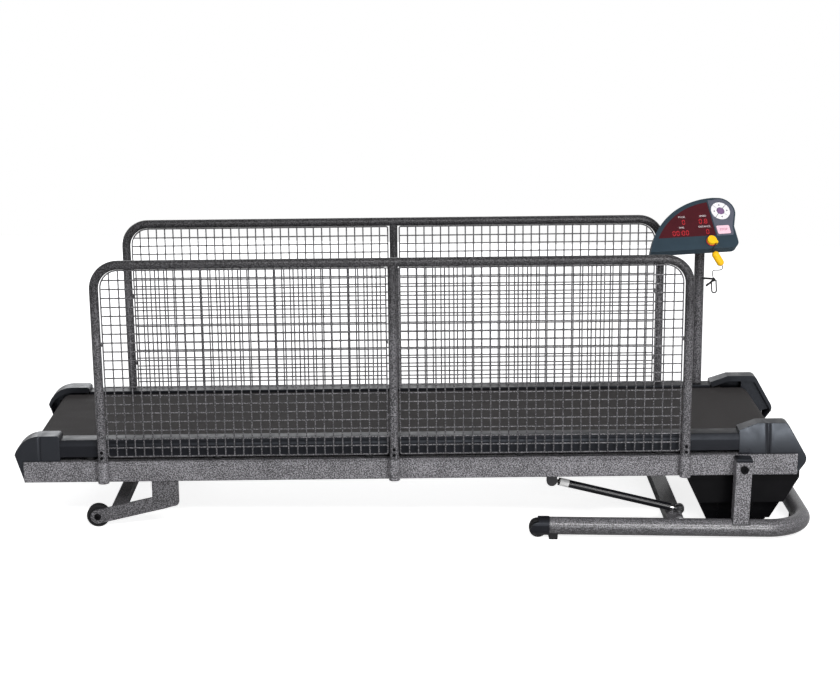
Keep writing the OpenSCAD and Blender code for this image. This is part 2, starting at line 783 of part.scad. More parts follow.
module front_outline(t) {
  n = [cos(front_slope), sin(front_slope)];
  r = front_nose_r - t;
  s = front_shoulder_r - t;
  top = front_cap_top - t;
  x0 = front_cap_back + t;
  shoulder = [(front_nose * n + r - s - n[1] * (top - s)) / n[0], top - s];
  foot = [beam_front, beam_bot + t];
  polygon(concat([[x0, beam_top], [x0, top - front_ramp_drop], [front_cap_back + front_ramp_len, top]],
    arc(shoulder, s, 90, front_slope, 8),
    arc(front_nose, r, front_slope, tangent_angle(foot, front_nose, r), 12), [foot, [beam_front, beam_top]]));
}
module cap_shell(groove_x, door_x) {
  t = cover_wall;
  difference() {
    slab(cover_in, cover_out) children(0);
    slab(cover_in + t, cover_out - t) children(1);
    slab(cover_in - cut, cover_in + t + cut) translate([0, -cap_lip]) children(1);
    block(groove_x, groove_x + cap_groove, cover_out - cap_groove, cover_out + cut, beam_top, front_cap_top);
    block(door_x - t - cut, door_x + t + cut, cover_in - cut, cover_out - t, beam_top - cut, cover_top);
  }
}
module rear_cap() {
  cap_shell(rear_arc[0], rear_cap_edge) {
    rear_outline(0);
    rear_outline(cover_wall);
  }
}
module front_cap() {
  cap_shell(roller_front_x - 4, front_cap_back) {
    front_outline(0);
    front_outline(cover_wall);
  }
}
module rear_cap_near() { color([0.2, 0.2, 0.2]) on_deck() rear_cap(); }
module rear_cap_far() { color([0.2, 0.2, 0.2]) on_deck() far() rear_cap(); }
module front_cap_near() { color([0.2, 0.2, 0.2]) on_deck() front_cap(); }
module front_cap_far() { color([0.2, 0.2, 0.2]) on_deck() far() front_cap(); }

// Side hoops, mesh panels and their fixings
module hoop_path(d, low) {
  bend_z = rail_z - hoop_bend_r;
  for (i = [0, 2]) translate([post_x[i], -hoop_y, low]) cylinder(d = d, h = bend_z - low);
  translate([post_x[0] - hoop_bend_r, -hoop_y, bend_z]) rotate([90, 0, 0]) quarter_bend(hoop_bend_r, d, 0);
  translate([post_x[2] + hoop_bend_r, -hoop_y, bend_z]) rotate([90, 0, 0]) quarter_bend(hoop_bend_r, d, 90);
  along(post_x[2] + hoop_bend_r, post_x[0] - hoop_bend_r, hoop_y, rail_z, d);
}
module hoop() {
  difference() {
    union() {
      difference() {
        hoop_path(hoop_d, post_bot);
        hoop_path(hoop_d - 2 * hoop_wall, post_bot - cut);
      }
      difference() {
        translate([post_x[1], -hoop_y, post_bot])
          cylinder(d = mid_post_d, h = rail_z - hoop_d / 4 - post_bot);
        translate([post_x[1], -hoop_y, post_bot - cut])
          cylinder(d = mid_post_d - 2 * hoop_wall, h = rail_z - hoop_d - post_bot);
      }
    }
    for (x = post_x, z = hoop_screw_z)
      across(x, beam_top + z, screw_d + 2 * run_clear, hoop_y - hoop_d, hoop_y + hoop_d);
  }
}
module hoop_near() { color("dimgray") on_deck() hoop(); }
module hoop_far() { color("dimgray") on_deck() far() hoop(); }
module hoop_stubs() {
  tab_t = hoop_y - hoop_d / 2 - beam_out - pass_gap;
  tab_h = beam_top + hoop_screw_z[1] + 12;
  color("dimgray") on_deck() both() for (x = post_x) difference() {
    union() {
      intersection() {
        translate([x, -hoop_y, stub_bot]) cylinder(d = stub_d, h = stub_top - stub_bot);
        block(x - stub_d, x + stub_d, beam_out, beam_out + 2 * stub_d, beam_bot - cut, stub_top + cut);
      }
      block(x - hoop_d / 2, x + hoop_d / 2, beam_out, beam_out + tab_t, 0, tab_h);
    }
    translate([x, -hoop_y, post_bot]) cylinder(d = hoop_d + 0.5, h = tab_h);
    for (z = hoop_screw_z) across(x, beam_top + z, screw_d + 2 * run_clear, beam_out - cut, hoop_y);
  }
}
module fasteners() {
  head = 1.8 * screw_d;
  adjuster = beam_rear + 12;
  color("black") on_deck() both() {
    for (x = post_x, z = hoop_screw_z) {
      across(x, beam_top + z, head, hoop_y + hoop_d / 2, hoop_y + hoop_d / 2 + 3);
      across(x, beam_top + z, screw_d, beam_out, hoop_y + hoop_d / 2);
    }
    translate([adjuster - 6, -bracket_in - bracket_t / 2, roller_z])
      rotate([0, 90, 0]) cylinder(d = 14, h = 6, $fn = 6);
    along(adjuster, roller_rear_x - bracket_w / 2, bracket_in + bracket_t / 2, roller_z, 8);
  }
}
module panel_shape(t, r_near) {
  w = panel_w / 2 - t;
  h = panel_h - t;
  r = mesh_corner_r - t;
  translate([-w, t]) square([2 * w - r, h - t]);
  translate([w - r - cut, t]) square([r + cut, h - t - r]);
  translate([w - r, h - r]) circle(r);
}
module mesh_cells() {
  first = rim_d / 2 + wire_d / 2;
  for (i = [0:wire_stride:mesh_cols - 1], j = [0:wire_stride:mesh_rows - 1]) {
    cols = min(wire_stride, mesh_cols - i);
    rows = min(wire_stride, mesh_rows - j);
    translate([-panel_w / 2 + first + i * mesh_pitch, first + j * mesh_pitch])
      square([cols * mesh_pitch - wire_d, rows * mesh_pitch - wire_d]);
  }
}
module mesh_panel() {
  slab(hoop_y - wire_d / 2, hoop_y + wire_d / 2) difference() {
    panel_shape(0);
    intersection() {
      panel_shape(rim_d);
      mesh_cells();
    }
  }
  reach = mesh_gap - pass_gap;
  for (z = [0.25, 0.75] * panel_h * 0.8, s = [-1, 1])
    block(s * (panel_w + reach) / 2 - reach / 2, s * (panel_w + reach) / 2 + reach / 2,
      hoop_y - wire_d / 2, hoop_y + wire_d / 2, z, z + 12);
}
module mesh_side() {
  translate([(post_x[0] + post_x[1]) / 2, 0, mesh_low]) mesh_panel();
  translate([(post_x[1] + post_x[2]) / 2, 0, mesh_low]) mirror([1, 0, 0]) mesh_panel();
}
module mesh_near() { color("gray") on_deck() mesh_side(); }
module mesh_far() { color("gray") on_deck() far() mesh_side(); }

// Rear legs and wheels
module leg_shape() {
  knee_r = 14;
  x1 = -leg_front_back;
  low = leg_knee[1] - leg_arm_w / 2;
  translate([x1 - leg_w, leg_knee[1]]) square([leg_w, beam_bot - leg_knee[1]]);
  translate([x1 - knee_r, leg_knee[1]]) circle(knee_r);
  polygon([[x1 - leg_w, leg_knee[1] + 1], [x1, leg_knee[1]], [x1 - knee_r, leg_knee[1] - knee_r],
    [x1 - leg_w / 2, low]]);
  translate([axle_x, axle_z]) circle(d = leg_arm_w);
  translate([axle_x, axle_z]) rotate([0, 0, arm_angle + 180]) translate([0, -leg_arm_w / 2])
    square([norm(leg_knee - [axle_x, axle_z]), leg_arm_w]);
}
module rear_legs() {
  boss = wheel_out + pass_gap;
  color("dimgray") on_deck() both() {
    slab(leg_in, leg_out) leg_shape();
    across(axle_x, axle_z, axle_d + 8, boss, leg_in);
    across(axle_x, axle_z, axle_d, wheel_in - pass_gap, boss);
    across(axle_x, axle_z, axle_d + 6, wheel_in - 5, wheel_in - pass_gap);
  }
}
module rear_leg_bar() {
  t = beam_wall;
  color("dimgray") on_deck() difference() {
    block(leg_bar_x, leg_bar_x + leg_bar_w, -leg_in, leg_in, leg_bar_z - leg_bar_h, leg_bar_z);
    block(leg_bar_x + t, leg_bar_x + leg_bar_w - t, -leg_in - cut, leg_in + cut,
      leg_bar_z - leg_bar_h + t, leg_bar_z - t);
  }
}
module wheel() {
  difference() {
    across(axle_x, axle_z, wheel_d, wheel_in, wheel_out);
    across(axle_x, axle_z, axle_d + 2 * run_clear, wheel_in - cut, wheel_out + cut);
  }
}
module wheel_near() { color("black") on_deck() wheel(); }
module wheel_far() { color("black") on_deck() far() wheel(); }

// Gas struts
module strut_lugs() {
  r = strut_eye_d / 2 + 3;
  head = 3;
  color("dimgray") on_deck() both() {
    slab(beam_in - lug_t, beam_in) {
      translate(strut_a) circle(r);
      translate([strut_a[0] - r, strut_a[1]]) square([2 * r, -strut_a[1]]);
    }
    across(strut_a[0], strut_a[1], strut_pin_d, eye_in - pass_gap, beam_in - lug_t);
    across(strut_a[0], strut_a[1], strut_pin_d + 6, eye_in - pass_gap - head, eye_in - pass_gap);
  }
}
module strut_eye(bore) {
  rotate([90, 0, 0]) difference() {
    cylinder(d = strut_eye_d, h = strut_eye_w, center = true);
    if (bore > 0) cylinder(d = bore, h = 2 * strut_eye_w, center = true);
  }
}
module strut_round(x0, x1, d) { translate([x0, 0, 0]) rotate([0, 90, 0]) cylinder(d = d, h = x1 - x0); }
module strut_barrels() {
  bore = strut_d - 2 * strut_wall;
  color([0.1, 0.1, 0.1]) on_deck() both() on_strut() {
    strut_eye(strut_pin_d + 2 * run_clear);
    difference() {
      union() {
        strut_round(barrel_start, barrel_end, strut_d);
        strut_round(strut_eye_d / 2 - 2, barrel_start, strut_eye_w - 2);
      }
      strut_round(barrel_start + 6, barrel_end - guide_len, bore);
      strut_round(barrel_start + 6, barrel_end + cut, rod_d + 2 * run_clear);
    }
  }
}
module strut_rods() {
  bore = strut_d - 2 * strut_wall;
  piston = barrel_start + 8;
  color("silver") on_deck() both() on_strut() {
    strut_round(piston, strut_len, rod_d);
    strut_round(piston, piston + 12, bore - 2 * pass_gap);
    translate([strut_len, 0, 0]) {
      strut_eye(0);
      translate([0, -strut_eye_w / 2, 0]) rotate([90, 0, 0])
        cylinder(d = 1.7 * strut_pin_d, h = 5, $fn = 6);
    }
  }
}

// Drive
module motor() {
  foot = 0.3 * motor_d;
  color("gray") on_deck() difference() {
    union() {
      across(motor_front, motor_z, motor_d, motor_far, motor_near);
      block(motor_front - foot, motor_front + foot, motor_far + 30, motor_near - 30, motor_z,
        beam_bot - plate_t);
    }
    across(motor_front, motor_z, motor_shaft_d + 2 * run_clear, motor_far + 60, motor_near + cut);
  }
}
module motor_rotor() {
  wheel_side = motor_near + 15;
  color("silver") on_deck() {
    across(motor_front, motor_z, motor_shaft_d, motor_far + 62, pulley_out);
    across(motor_front, motor_z, flywheel_d, wheel_side, wheel_side + 22);
    across(motor_front, motor_z, motor_pulley_d, pulley_in, pulley_out);
  }
}
module pulley_loop(grow) {
  c1 = [motor_front, motor_z];
  c2 = [roller_front_x, roller_z];
  r1 = motor_pulley_d / 2 + grow;
  r2 = roller_pulley_d / 2 + grow;
  way = atan2(c2[1] - c1[1], c2[0] - c1[0]);
  lean = acos((r1 - r2) / norm(c2 - c1));
  polygon(concat(arc(c1, r1, way + lean, way - lean + 360, 24), arc(c2, r2, way - lean, way + lean, 40)));
}
module drive_belt() {
  mid = (pulley_in + pulley_out) / 2;
  color("black") on_deck() slab(mid - drive_belt_w / 2, mid + drive_belt_w / 2) difference() {
    pulley_loop(pass_gap + drive_belt_t);
    pulley_loop(pass_gap);
  }
}
module pan_outline(t) {
  back = t * pan_slant_back;
  front = t * pan_slant_front;
  polygon([[back - pan_back, beam_bot], [pan_floor[0] + back, t - pan_drop],
    [pan_floor[1] - front, t - pan_drop], [pan_front - t, beam_bot - pan_lip], [pan_front - t, beam_bot]]);
}
module pan_upper(t) {
  intersection() {
    pan_outline(t);
    translate([-2 * pan_front, t - pan_ledge]) square([4 * pan_front, pan_ledge]);
  }
}
module inlet_opening(x, size, w0, w1) {
  block(x - size[0] / 2, x + size[0] / 2, w0, w1, inlet_z - size[1] / 2, inlet_z + size[1] / 2);
}
module motor_cover() {
  t = pan_wall;
  back_flange = plate_ends[0] - member_w / 2 + 14;
  front_flange = member_x[1] + member_w / 2 - 3;
  color([0.12, 0.12, 0.12]) on_deck() difference() {
    union() {
      difference() {
        union() {
          slab(-pan_wide, pan_wide) pan_upper(0);
          slab(-pan_narrow, pan_narrow) pan_outline(0);
        }
        slab(t - pan_wide, pan_wide - t) pan_upper(t);
        slab(t - pan_narrow, pan_narrow - t) pan_outline(t);
      }
      block(1 - pan_back, back_flange, t - pan_wide, pan_wide - t, beam_bot - t, beam_bot);
      block(front_flange, pan_front - 1, t - pan_wide, pan_wide - t, beam_bot - t, beam_bot);
    }
    far() inlet_opening(inlet_x, inlet_size, pan_wide - 2 * t, pan_wide + cut);
    far() inlet_opening(rocker_x, rocker_size + [8, 4], pan_wide - 2 * t, pan_wide + cut);
  }
}
module controller() {
  top = beam_bot - plate_t;
  color("darkgreen") on_deck() far()
    block(motor_front - 70, motor_front + 50, plate_half - 38, plate_half + 96, top - 50, top);
}
module power_inlet() {
  face = pan_wide + inlet_flange_t;
  margin = 6;
  x0 = rocker_x - rocker_size[0] / 2 - margin;
  x1 = inlet_x + inlet_size[0] / 2 + margin;
  z0 = inlet_z - rocker_size[1] / 2 - margin;
  color("black") on_deck() far() {
    difference() {
      union() {
        block(x0, x1, pan_wide, face, z0, 2 * inlet_z - z0);
        inlet_opening(inlet_x, inlet_size - [0.4, 0.4], face - inlet_depth, pan_wide);
        inlet_opening(rocker_x, rocker_size + [7.6, 3.6], face - inlet_depth, pan_wide);
      }
      inlet_opening(inlet_x, inlet_size - [6, 6], face - inlet_depth + 3, face + cut);
      inlet_opening(rocker_x, rocker_size, face - inlet_depth + 2, face + cut);
      along(rocker_x - rocker_size[0] / 2 - 2, rocker_x + rocker_size[0] / 2 + 2, face - 4, inlet_z,
        rocker_pin_d + 2 * run_clear);
    }
    for (x = [-6, 0, 6])
      block(inlet_x + x - 1, inlet_x + x + 1, face - inlet_depth + 3, face - 4, inlet_z - 3, inlet_z + 1);
  }
}
module power_switch() {
  h = rocker_size[1] / 2 - 1.2;
  w = rocker_size[0] / 2 - pass_gap;
  pin_w = pan_wide + inlet_flange_t - 4;
  color("firebrick") on_deck() far() translate([rocker_x, -pin_w, inlet_z]) rotate([rocker_tilt, 0, 0]) {
    rail(-w, w) polygon([[4, -h + 1], [-6.5, -h], [-4.5, 0], [-6.5, h], [4, h - 1]]);
    translate([-w - 2, 0, 0]) rotate([0, 90, 0]) cylinder(d = rocker_pin_d, h = 2 * w + 4);
  }
}

// Console: u to the right and v up on its face, z out of the face
module console_outline(t) {
  r = console_corner_r;
  low = console_low + t;
  right = console_right - t;
  edge = console_arc_r - t;
  tip = 180 - asin((low - arc_mid[1]) / edge);
  polygon(concat(arc(arc_mid, edge, tip, 91, 40), arc(keypad_at, console_lobe_r - t, 80, -20, 16),
    [[right, console_waist]], arc([right - r, low + r], r, 0, -90, 8)));
}
module window_outline(t) {
  intersection() {
    translate(arc_mid) circle(console_arc_r - window_frame - t, $fn = 180);
    translate([window_right - t - console_arc_r, window_low + t]) square([console_arc_r, console_arc_r]);
  }
}
module rounded_rect(size, r) {
  square([size[0] - 2 * r, size[1]], center = true);
  square([size[0], size[1] - 2 * r], center = true);
  for (x = [-1, 1], y = [-1, 1]) translate([x * (size[0] / 2 - r), y * (size[1] / 2 - r)]) circle(r);
}
module console_layer(n0, n1) { translate([0, 0, n0]) linear_extrude(n1 - n0) children(); }
function boss_places() = [[-95, 32], [-15, 105], [95, 95], [112, 32]];
module console_back() {
  color([0.2, 0.25, 0.31]) on_console() {
    difference() {
      console_layer(-console_t, -console_front_t) console_outline(0);
      console_layer(console_wall - console_t, -console_front_t + cut) console_outline(console_wall);
    }
    for (p = boss_places()) translate([p[0], p[1], console_wall - console_t])
      cylinder(d = 9, h = console_t - console_wall + board_n);
  }
}
module console_front() {
  color([0.2, 0.25, 0.31]) on_console() difference() {
    console_layer(-console_front_t, 0) console_outline(0);
    console_layer(-console_front_t - cut, -console_wall) console_outline(console_wall);
    console_layer(-console_front_t, cut) window_outline(0);
    console_layer(-console_front_t, cut) translate(keypad_at) circle(d = keypad_d);
    console_layer(-console_front_t, cut) translate(stop_at) rounded_rect(stop_size + [2, 2] * pass_gap, 4);
    console_layer(-console_front_t, cut) translate(safety_at) circle(d = safety_stem_d + 2 * run_clear);
  }
}
module circuit_board() {
  low = console_low + pcb_margin;
  right = console_right - pcb_margin;
  pcb_top = keypad_at[1] + 18;
  edge = console_arc_r - pcb_edge;
  tip = 180 - asin((low - arc_mid[1]) / edge);
  color("darkgreen") on_console() difference() {
    console_layer(board_n, board_n + pcb_t)
      polygon(concat([[right, low], [right, pcb_top], [pcb_crest, pcb_top]],
        arc(arc_mid, edge, 132, tip, 1)));
    console_layer(board_n - cut, cut) translate(safety_at) circle(d = safety_stem_d + 4);
  }
}
module display_window() {
  color([0.3, 0.1, 0.13]) on_console() console_layer(-console_wall, -0.4) window_outline(0.1);
}
module key_stem() {
  low = board_n + pcb_t + key_travel + 0.2;
  translate([0, 0, low]) cylinder(d = 5, h = key_proud - low);
}
module key_sector(turn) {
  r1 = keypad_d / 2 - pass_gap;
  r0 = mid_key_d / 2 + key_gap / 2;
  color("white") on_console() translate(keypad_at) rotate([0, 0, turn]) {
    console_layer(key_bot, key_proud) intersection() {
      difference() {
        circle(r1);
        circle(r0);
      }
      polygon([[key_gap, 0], [key_gap + r1, r1], [key_gap + r1, -r1]]);
    }
    translate([(r0 + r1) / 2, 0, 0]) key_stem();
  }
}
module key_right() { key_sector(0); }
module key_up() { key_sector(90); }
module key_left() { key_sector(180); }
module key_down() { key_sector(270); }
module key_start() {
  color("purple") on_console() translate(keypad_at) {
    console_layer(key_bot, key_proud) circle(d = mid_key_d - key_gap);
    key_stem();
  }
}
module stop_button() {
  color("pink") on_console() translate(stop_at) {
    console_layer(key_bot, key_proud) rounded_rect(stop_size, 4);
    key_stem();
  }
}
module safety_key() {
  tail = [13, -8];
  color("gold") on_console() translate(safety_at) {
    console_layer(board_n - 4, pass_gap) circle(d = safety_stem_d);
    console_layer(pass_gap, safety_h) {
      circle(d = safety_d);
      translate(tail) circle(4);
      polygon([tail + [2.1, 3.4], [7.4, 11.9], [-7.4, -11.9], tail - [2.1, 3.4]]);
    }
  }
}
module console_post() {
  half = post_flange[0] / 2;
  reach = 3 * console_arc_r;
  color("dimgray") {
    on_deck() difference() {
      translate([-post_back, post_y, beam_top]) cylinder(d = post_d, h = post_top_z - beam_top + post_d);
      translate([-post_back, post_y, beam_top + post_flange[2]])
        cylinder(d = post_d - 2 * post_wall, h = post_top_z);
      translate(console_place) rotate(console_spin) translate([-reach / 2, -reach / 2, post_seat_n])
        cube([reach, reach, reach]);
    }
    on_deck() far() block(-post_back - half, half - post_back, post_y - 18, beam_out - pass_gap,
      beam_top, beam_top + post_flange[2]);
    on_console() translate([post_plate_at[0], post_plate_at[1], post_seat_n - post_plate_t / 2])
      linear_extrude(post_plate_t) rounded_rect(post_plate, 6);
  }
}

// Lanyard: a round cord swept along its route, with eight sides
function unit(v) = v / norm(v);
function route_dir(i) =
  unit(lanyard_route[min(i + 1, len(lanyard_route) - 1)] - lanyard_route[max(i - 1, 0)]);
function ring_at(i) =
  let (d = route_dir(i), s = unit(cross(d, [0.1, 1, 0.05])), t = cross(s, d))
  [for (k = [0:7]) lanyard_route[i] + lanyard_d / 2 * (cos(45 * k) * s + sin(45 * k) * t)];
module lanyard() {
  n = len(lanyard_route);
  points = [for (i = [0:n - 1]) each ring_at(i)];
  sides = [for (i = [0:n - 2], k = [0:7]) let (a = 8 * i + k, b = 8 * i + (k + 1) % 8) each
    [[a, a + 8, b], [a + 8, b + 8, b]]];
  ends = [for (k = [1:6]) each [[0, k, k + 1], [8 * n - 8, 8 * n - 8 + k + 1, 8 * n - 8 + k]]];
  color("black") on_deck() polyhedron(points, concat(sides, ends));
}
module toggle_axis() {
  v = toggle_tip - toggle_top;
  on_deck() translate(toggle_top) rotate([0, 90 - atan2(v[2], v[0]), 0]) children();
}
module lanyard_toggle() {
  h = norm(toggle_tip - toggle_top);
  r = toggle_d / 2;
  color("orange") toggle_axis() difference() {
    rotate_extrude() intersection() {
      union() {
        translate([0, r]) square([r, h - 2 * r]);
        translate([0, r]) circle(r);
        translate([0, h - r]) circle(r);
      }
      translate([0, 1]) square([r + cut, h - 2]);
    }
    translate([0, 0, -cut]) cylinder(d = lanyard_d + 2, h = h + 2 * cut);
  }
}
module clip_loop(r) {
  polygon(concat([[r, 0], [-r, 0]], arc([0, clip_loop_r - clip_drop], r, 180, 360, 12)));
}
module lanyard_clip() {
  color("black") on_deck() translate(clip_at) {
    rotate([90, 0, 0]) cylinder(d = clip_hub_d, h = clip_w + 2, center = true);
    rotate([0, 5, 0]) translate([-clip_len, -clip_w / 2, 0.5]) cube([clip_len, clip_w, clip_jaw_t]);
    rotate([0, -38, 0]) translate([-0.8 * clip_len, 0.5 - clip_w / 2, -clip_jaw_t])
      cube([0.8 * clip_len, clip_w - 1, clip_jaw_t]);
    rotate([0, -4, 0]) rotate([90, 0, 0]) linear_extrude(clip_jaw_t, center = true) difference() {
      clip_loop(clip_loop_r);
      intersection() {
        clip_loop(clip_loop_r - clip_jaw_t);
        translate([-clip_drop, -2 * clip_drop]) square([2 * clip_drop, 2 * clip_drop - clip_hub_d]);
      }
    }
  }
}

base_tube();
base_cross_tube();
uprights();
upright_caps();
pivot_bolts();
strut_brackets();
base_pads();
base_end_caps();
base_roller_near();
base_roller_far();
beam_near();
beam_far();
cross_members();
deck_board();
deck_cushions();
running_belt();
side_cover_near();
side_cover_far();
rear_cap_near();
rear_cap_far();
front_cap_near();
front_cap_far();
roller_brackets();
fasteners();
front_roller();
rear_roller();
hoop_near();
hoop_far();
hoop_stubs();
mesh_near();
mesh_far();
rear_legs();
rear_leg_bar();
wheel_near();
wheel_far();
strut_lugs();
strut_barrels();
strut_rods();
motor();
motor_rotor();
drive_belt();
motor_cover();
controller();
power_inlet();
power_switch();
console_post();
console_back();
console_front();
circuit_board();
display_window();
key_up();
key_down();
key_left();
key_right();
key_start();
stop_button();
safety_key();
lanyard();
lanyard_toggle();
lanyard_clip();
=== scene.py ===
import json
import math

import bmesh
import bpy
from mathutils import Matrix, Vector, noise as mnoise


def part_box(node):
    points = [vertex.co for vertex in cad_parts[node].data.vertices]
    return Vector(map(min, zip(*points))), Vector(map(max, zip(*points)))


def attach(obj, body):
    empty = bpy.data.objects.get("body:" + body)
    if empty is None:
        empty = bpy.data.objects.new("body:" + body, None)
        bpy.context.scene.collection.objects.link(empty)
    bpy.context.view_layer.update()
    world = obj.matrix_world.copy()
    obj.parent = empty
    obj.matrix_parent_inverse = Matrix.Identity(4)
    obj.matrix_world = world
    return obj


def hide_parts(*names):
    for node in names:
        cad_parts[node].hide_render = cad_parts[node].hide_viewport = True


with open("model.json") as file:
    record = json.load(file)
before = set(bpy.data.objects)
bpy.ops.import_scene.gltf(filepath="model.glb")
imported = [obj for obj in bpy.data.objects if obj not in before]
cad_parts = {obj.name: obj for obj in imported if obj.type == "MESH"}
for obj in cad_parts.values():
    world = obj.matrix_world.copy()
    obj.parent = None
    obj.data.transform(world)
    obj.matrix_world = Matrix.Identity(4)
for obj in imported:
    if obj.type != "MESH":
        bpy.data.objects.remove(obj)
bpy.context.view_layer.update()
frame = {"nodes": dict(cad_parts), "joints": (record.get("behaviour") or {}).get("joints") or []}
nodes = frame["nodes"]
scene = bpy.context.scene
scene.view_settings.view_transform = "Standard"


def at(matrix, x, y, z):
    """A point in the matrix's frame, given in millimetres."""
    return matrix @ (Vector((x, y, z)) / 1000)


def shifted(matrix, x, y, z):
    """The matrix's frame, moved by millimetres along its own axes."""
    return matrix @ Matrix.Translation(Vector((x, y, z)) / 1000)


def turned(matrix, degrees, axis):
    return matrix @ Matrix.Rotation(math.radians(degrees), 4, axis)


# Frames: the deck from its fold pivot, the deck's side view, the base from the pivot's foot, the console's face
INCLINE = 1.4
FOLD = Vector(next(j for j in frame["joints"] if j["name"] == "deck_fold")["pos_m"])
DECK = turned(Matrix.Translation(FOLD), -INCLINE, "Y")
PROFILE = turned(DECK, 90, "X")
BASE = Matrix.Translation((FOLD.x, 0, 0))
YAW, LEAN = math.radians(14), math.radians(42)
CON_U = Vector((math.cos(YAW), math.sin(YAW), 0))
CON_N = Vector((CON_U.y * math.cos(LEAN), -CON_U.x * math.cos(LEAN), math.sin(LEAN)))
CON_V = CON_N.cross(CON_U)
CONSOLE = shifted(DECK, -70, 170, 519) @ Matrix((CON_U, CON_V, CON_N)).transposed().to_4x4()

# Places and sizes of the solids, in millimetres and degrees
SIDES = ((-1, "near"), (1, "far"))
BEAM_IN, BEAM_OUT, BEAM_HALF = 250, 290, 30
POSTS_X, SCREWS_Z, SCREW_SEAT = (-160, -970, -1780), (48, 64), 320
AXLE_X, AXLE_Z, AXLE_SEAT = -1807, -135.9, 280
UPRIGHT_HALF, UPRIGHT_IN, UPRIGHT_OUT = 22.5, 294, 334
BASE_Y, BASE_Z, BASE_R = 314, 35, 25
CROSS_X, CROSS_Z = (-195.5, -150.5), (15, 45)
STRUT_TOP, STRUT_Y, STRUT_LEN, STRUT_DIP = (-527, -55), 236, 376.3, 14.16
STRUT_R = 11
WHEEL_R, ROLLER_R, WHEEL_W = 32, 25, 24
PAN_SIDE, PAN_FLOOR = 222, -180
ARC_MIDDLE, PAD_MIDDLE, STOP_MIDDLE, SAFETY_MIDDLE = (101, -78), (110, 132), (103, 66.5), (53, 28)


# Camera, solved from the photograph in the deck's frame
def add_camera():
    sensor, focal_px, width_px = 36, 1851, 840
    eye = (-917.2, -5215.7, 1598.6)
    pitch, yaw, roll = (math.radians(a) for a in (14.32, -0.25, 0.56))
    turn = Matrix.Rotation(yaw, 3, "Z")
    ahead = turn @ Vector((0, math.cos(pitch), -math.sin(pitch)))
    right = turn @ Vector((1, 0, 0))
    down = ahead.cross(right)
    across = math.cos(roll) * right + math.sin(roll) * down
    below = math.cos(roll) * down - math.sin(roll) * right
    data = bpy.data.cameras.new("camera")
    data.sensor_width, data.lens, data.clip_end = sensor, focal_px / width_px * sensor, 60
    cam = bpy.data.objects.new("camera", data)
    scene.collection.objects.link(cam)
    axes = Matrix((across, -below, -ahead)).transposed().to_4x4()
    cam.matrix_world = shifted(DECK, *eye) @ axes
    scene.camera = cam


add_camera()


# Node helpers
def shader(name, color, rough, metal=0.0, spec=0.5, coat=0.0, tint=(1, 1, 1)):
    m = bpy.data.materials.new(name)
    m.use_nodes = True
    b = m.node_tree.nodes["Principled BSDF"]
    b.inputs["Base Color"].default_value = (*color, 1)
    b.inputs["Roughness"].default_value = rough
    b.inputs["Metallic"].default_value = metal
    b.inputs["Specular IOR Level"].default_value = spec
    b.inputs["Specular Tint"].default_value = (*tint, 1)
    if coat:
        b.inputs["Coat Weight"].default_value = coat
        b.inputs["Coat Roughness"].default_value = 0.12
    return m, m.node_tree, b


def node(t, kind, links=None, **settings):
    n = t.nodes.new("ShaderNode" + kind)
    for key, value in settings.items():
        if hasattr(n, key) and key not in n.inputs:
            setattr(n, key, value)
        else:
            n.inputs[key].default_value = value
    for key, source in (links or {}).items():
        t.links.new(source, n.inputs[key])
    return n


def place(t, scale=(1, 1, 1)):
    co = node(t, "TexCoord")
    m = node(t, "Mapping", {"Vector": co.outputs["Object"]})
    m.inputs["Scale"].default_value = scale
    return m.outputs["Vector"]


def noise(t, vec, scale, detail=2.0, rough=0.5):
    n = node(t, "TexNoise", {"Vector": vec}, Scale=scale, Detail=detail, Roughness=rough)
    return n.outputs["Fac"]


def stripes(t, scale, distortion=0.0):
    n = node(t, "TexWave", {"Vector": place(t, scale)}, wave_type="BANDS", bands_direction="DIAGONAL",
             Scale=1.0, Distortion=distortion)
    return n.outputs["Fac"]


def ramp(t, fac, stops):
    n = node(t, "ValToRGB", {"Fac": fac})
    e = n.color_ramp.elements
    while len(e) < len(stops):
        e.new(0.5)
    for item, (pos, value) in zip(e, stops):
        item.position = pos
        item.color = (*value, 1) if hasattr(value, "__len__") else (value, value, value, 1)
    return n.outputs["Color"]


def maths(t, op, a, b):
    n = node(t, "Math", operation=op)
    for i, v in enumerate((a, b)):
        if isinstance(v, (int, float)):
            n.inputs[i].default_value = v
        else:
            t.links.new(v, n.inputs[i])
    return n.outputs[0]


def weighted(t, a, k, b, m):
    return maths(t, "ADD", maths(t, "MULTIPLY", a, k), maths(t, "MULTIPLY", b, m))


def bump(t, b, height, strength, distance):
    n = node(t, "Bump", {"Height": height}, Strength=strength, Distance=distance)
    t.links.new(n.outputs["Normal"], b.inputs["Normal"])


def scaled(color, k):
    return [c * k for c in color]


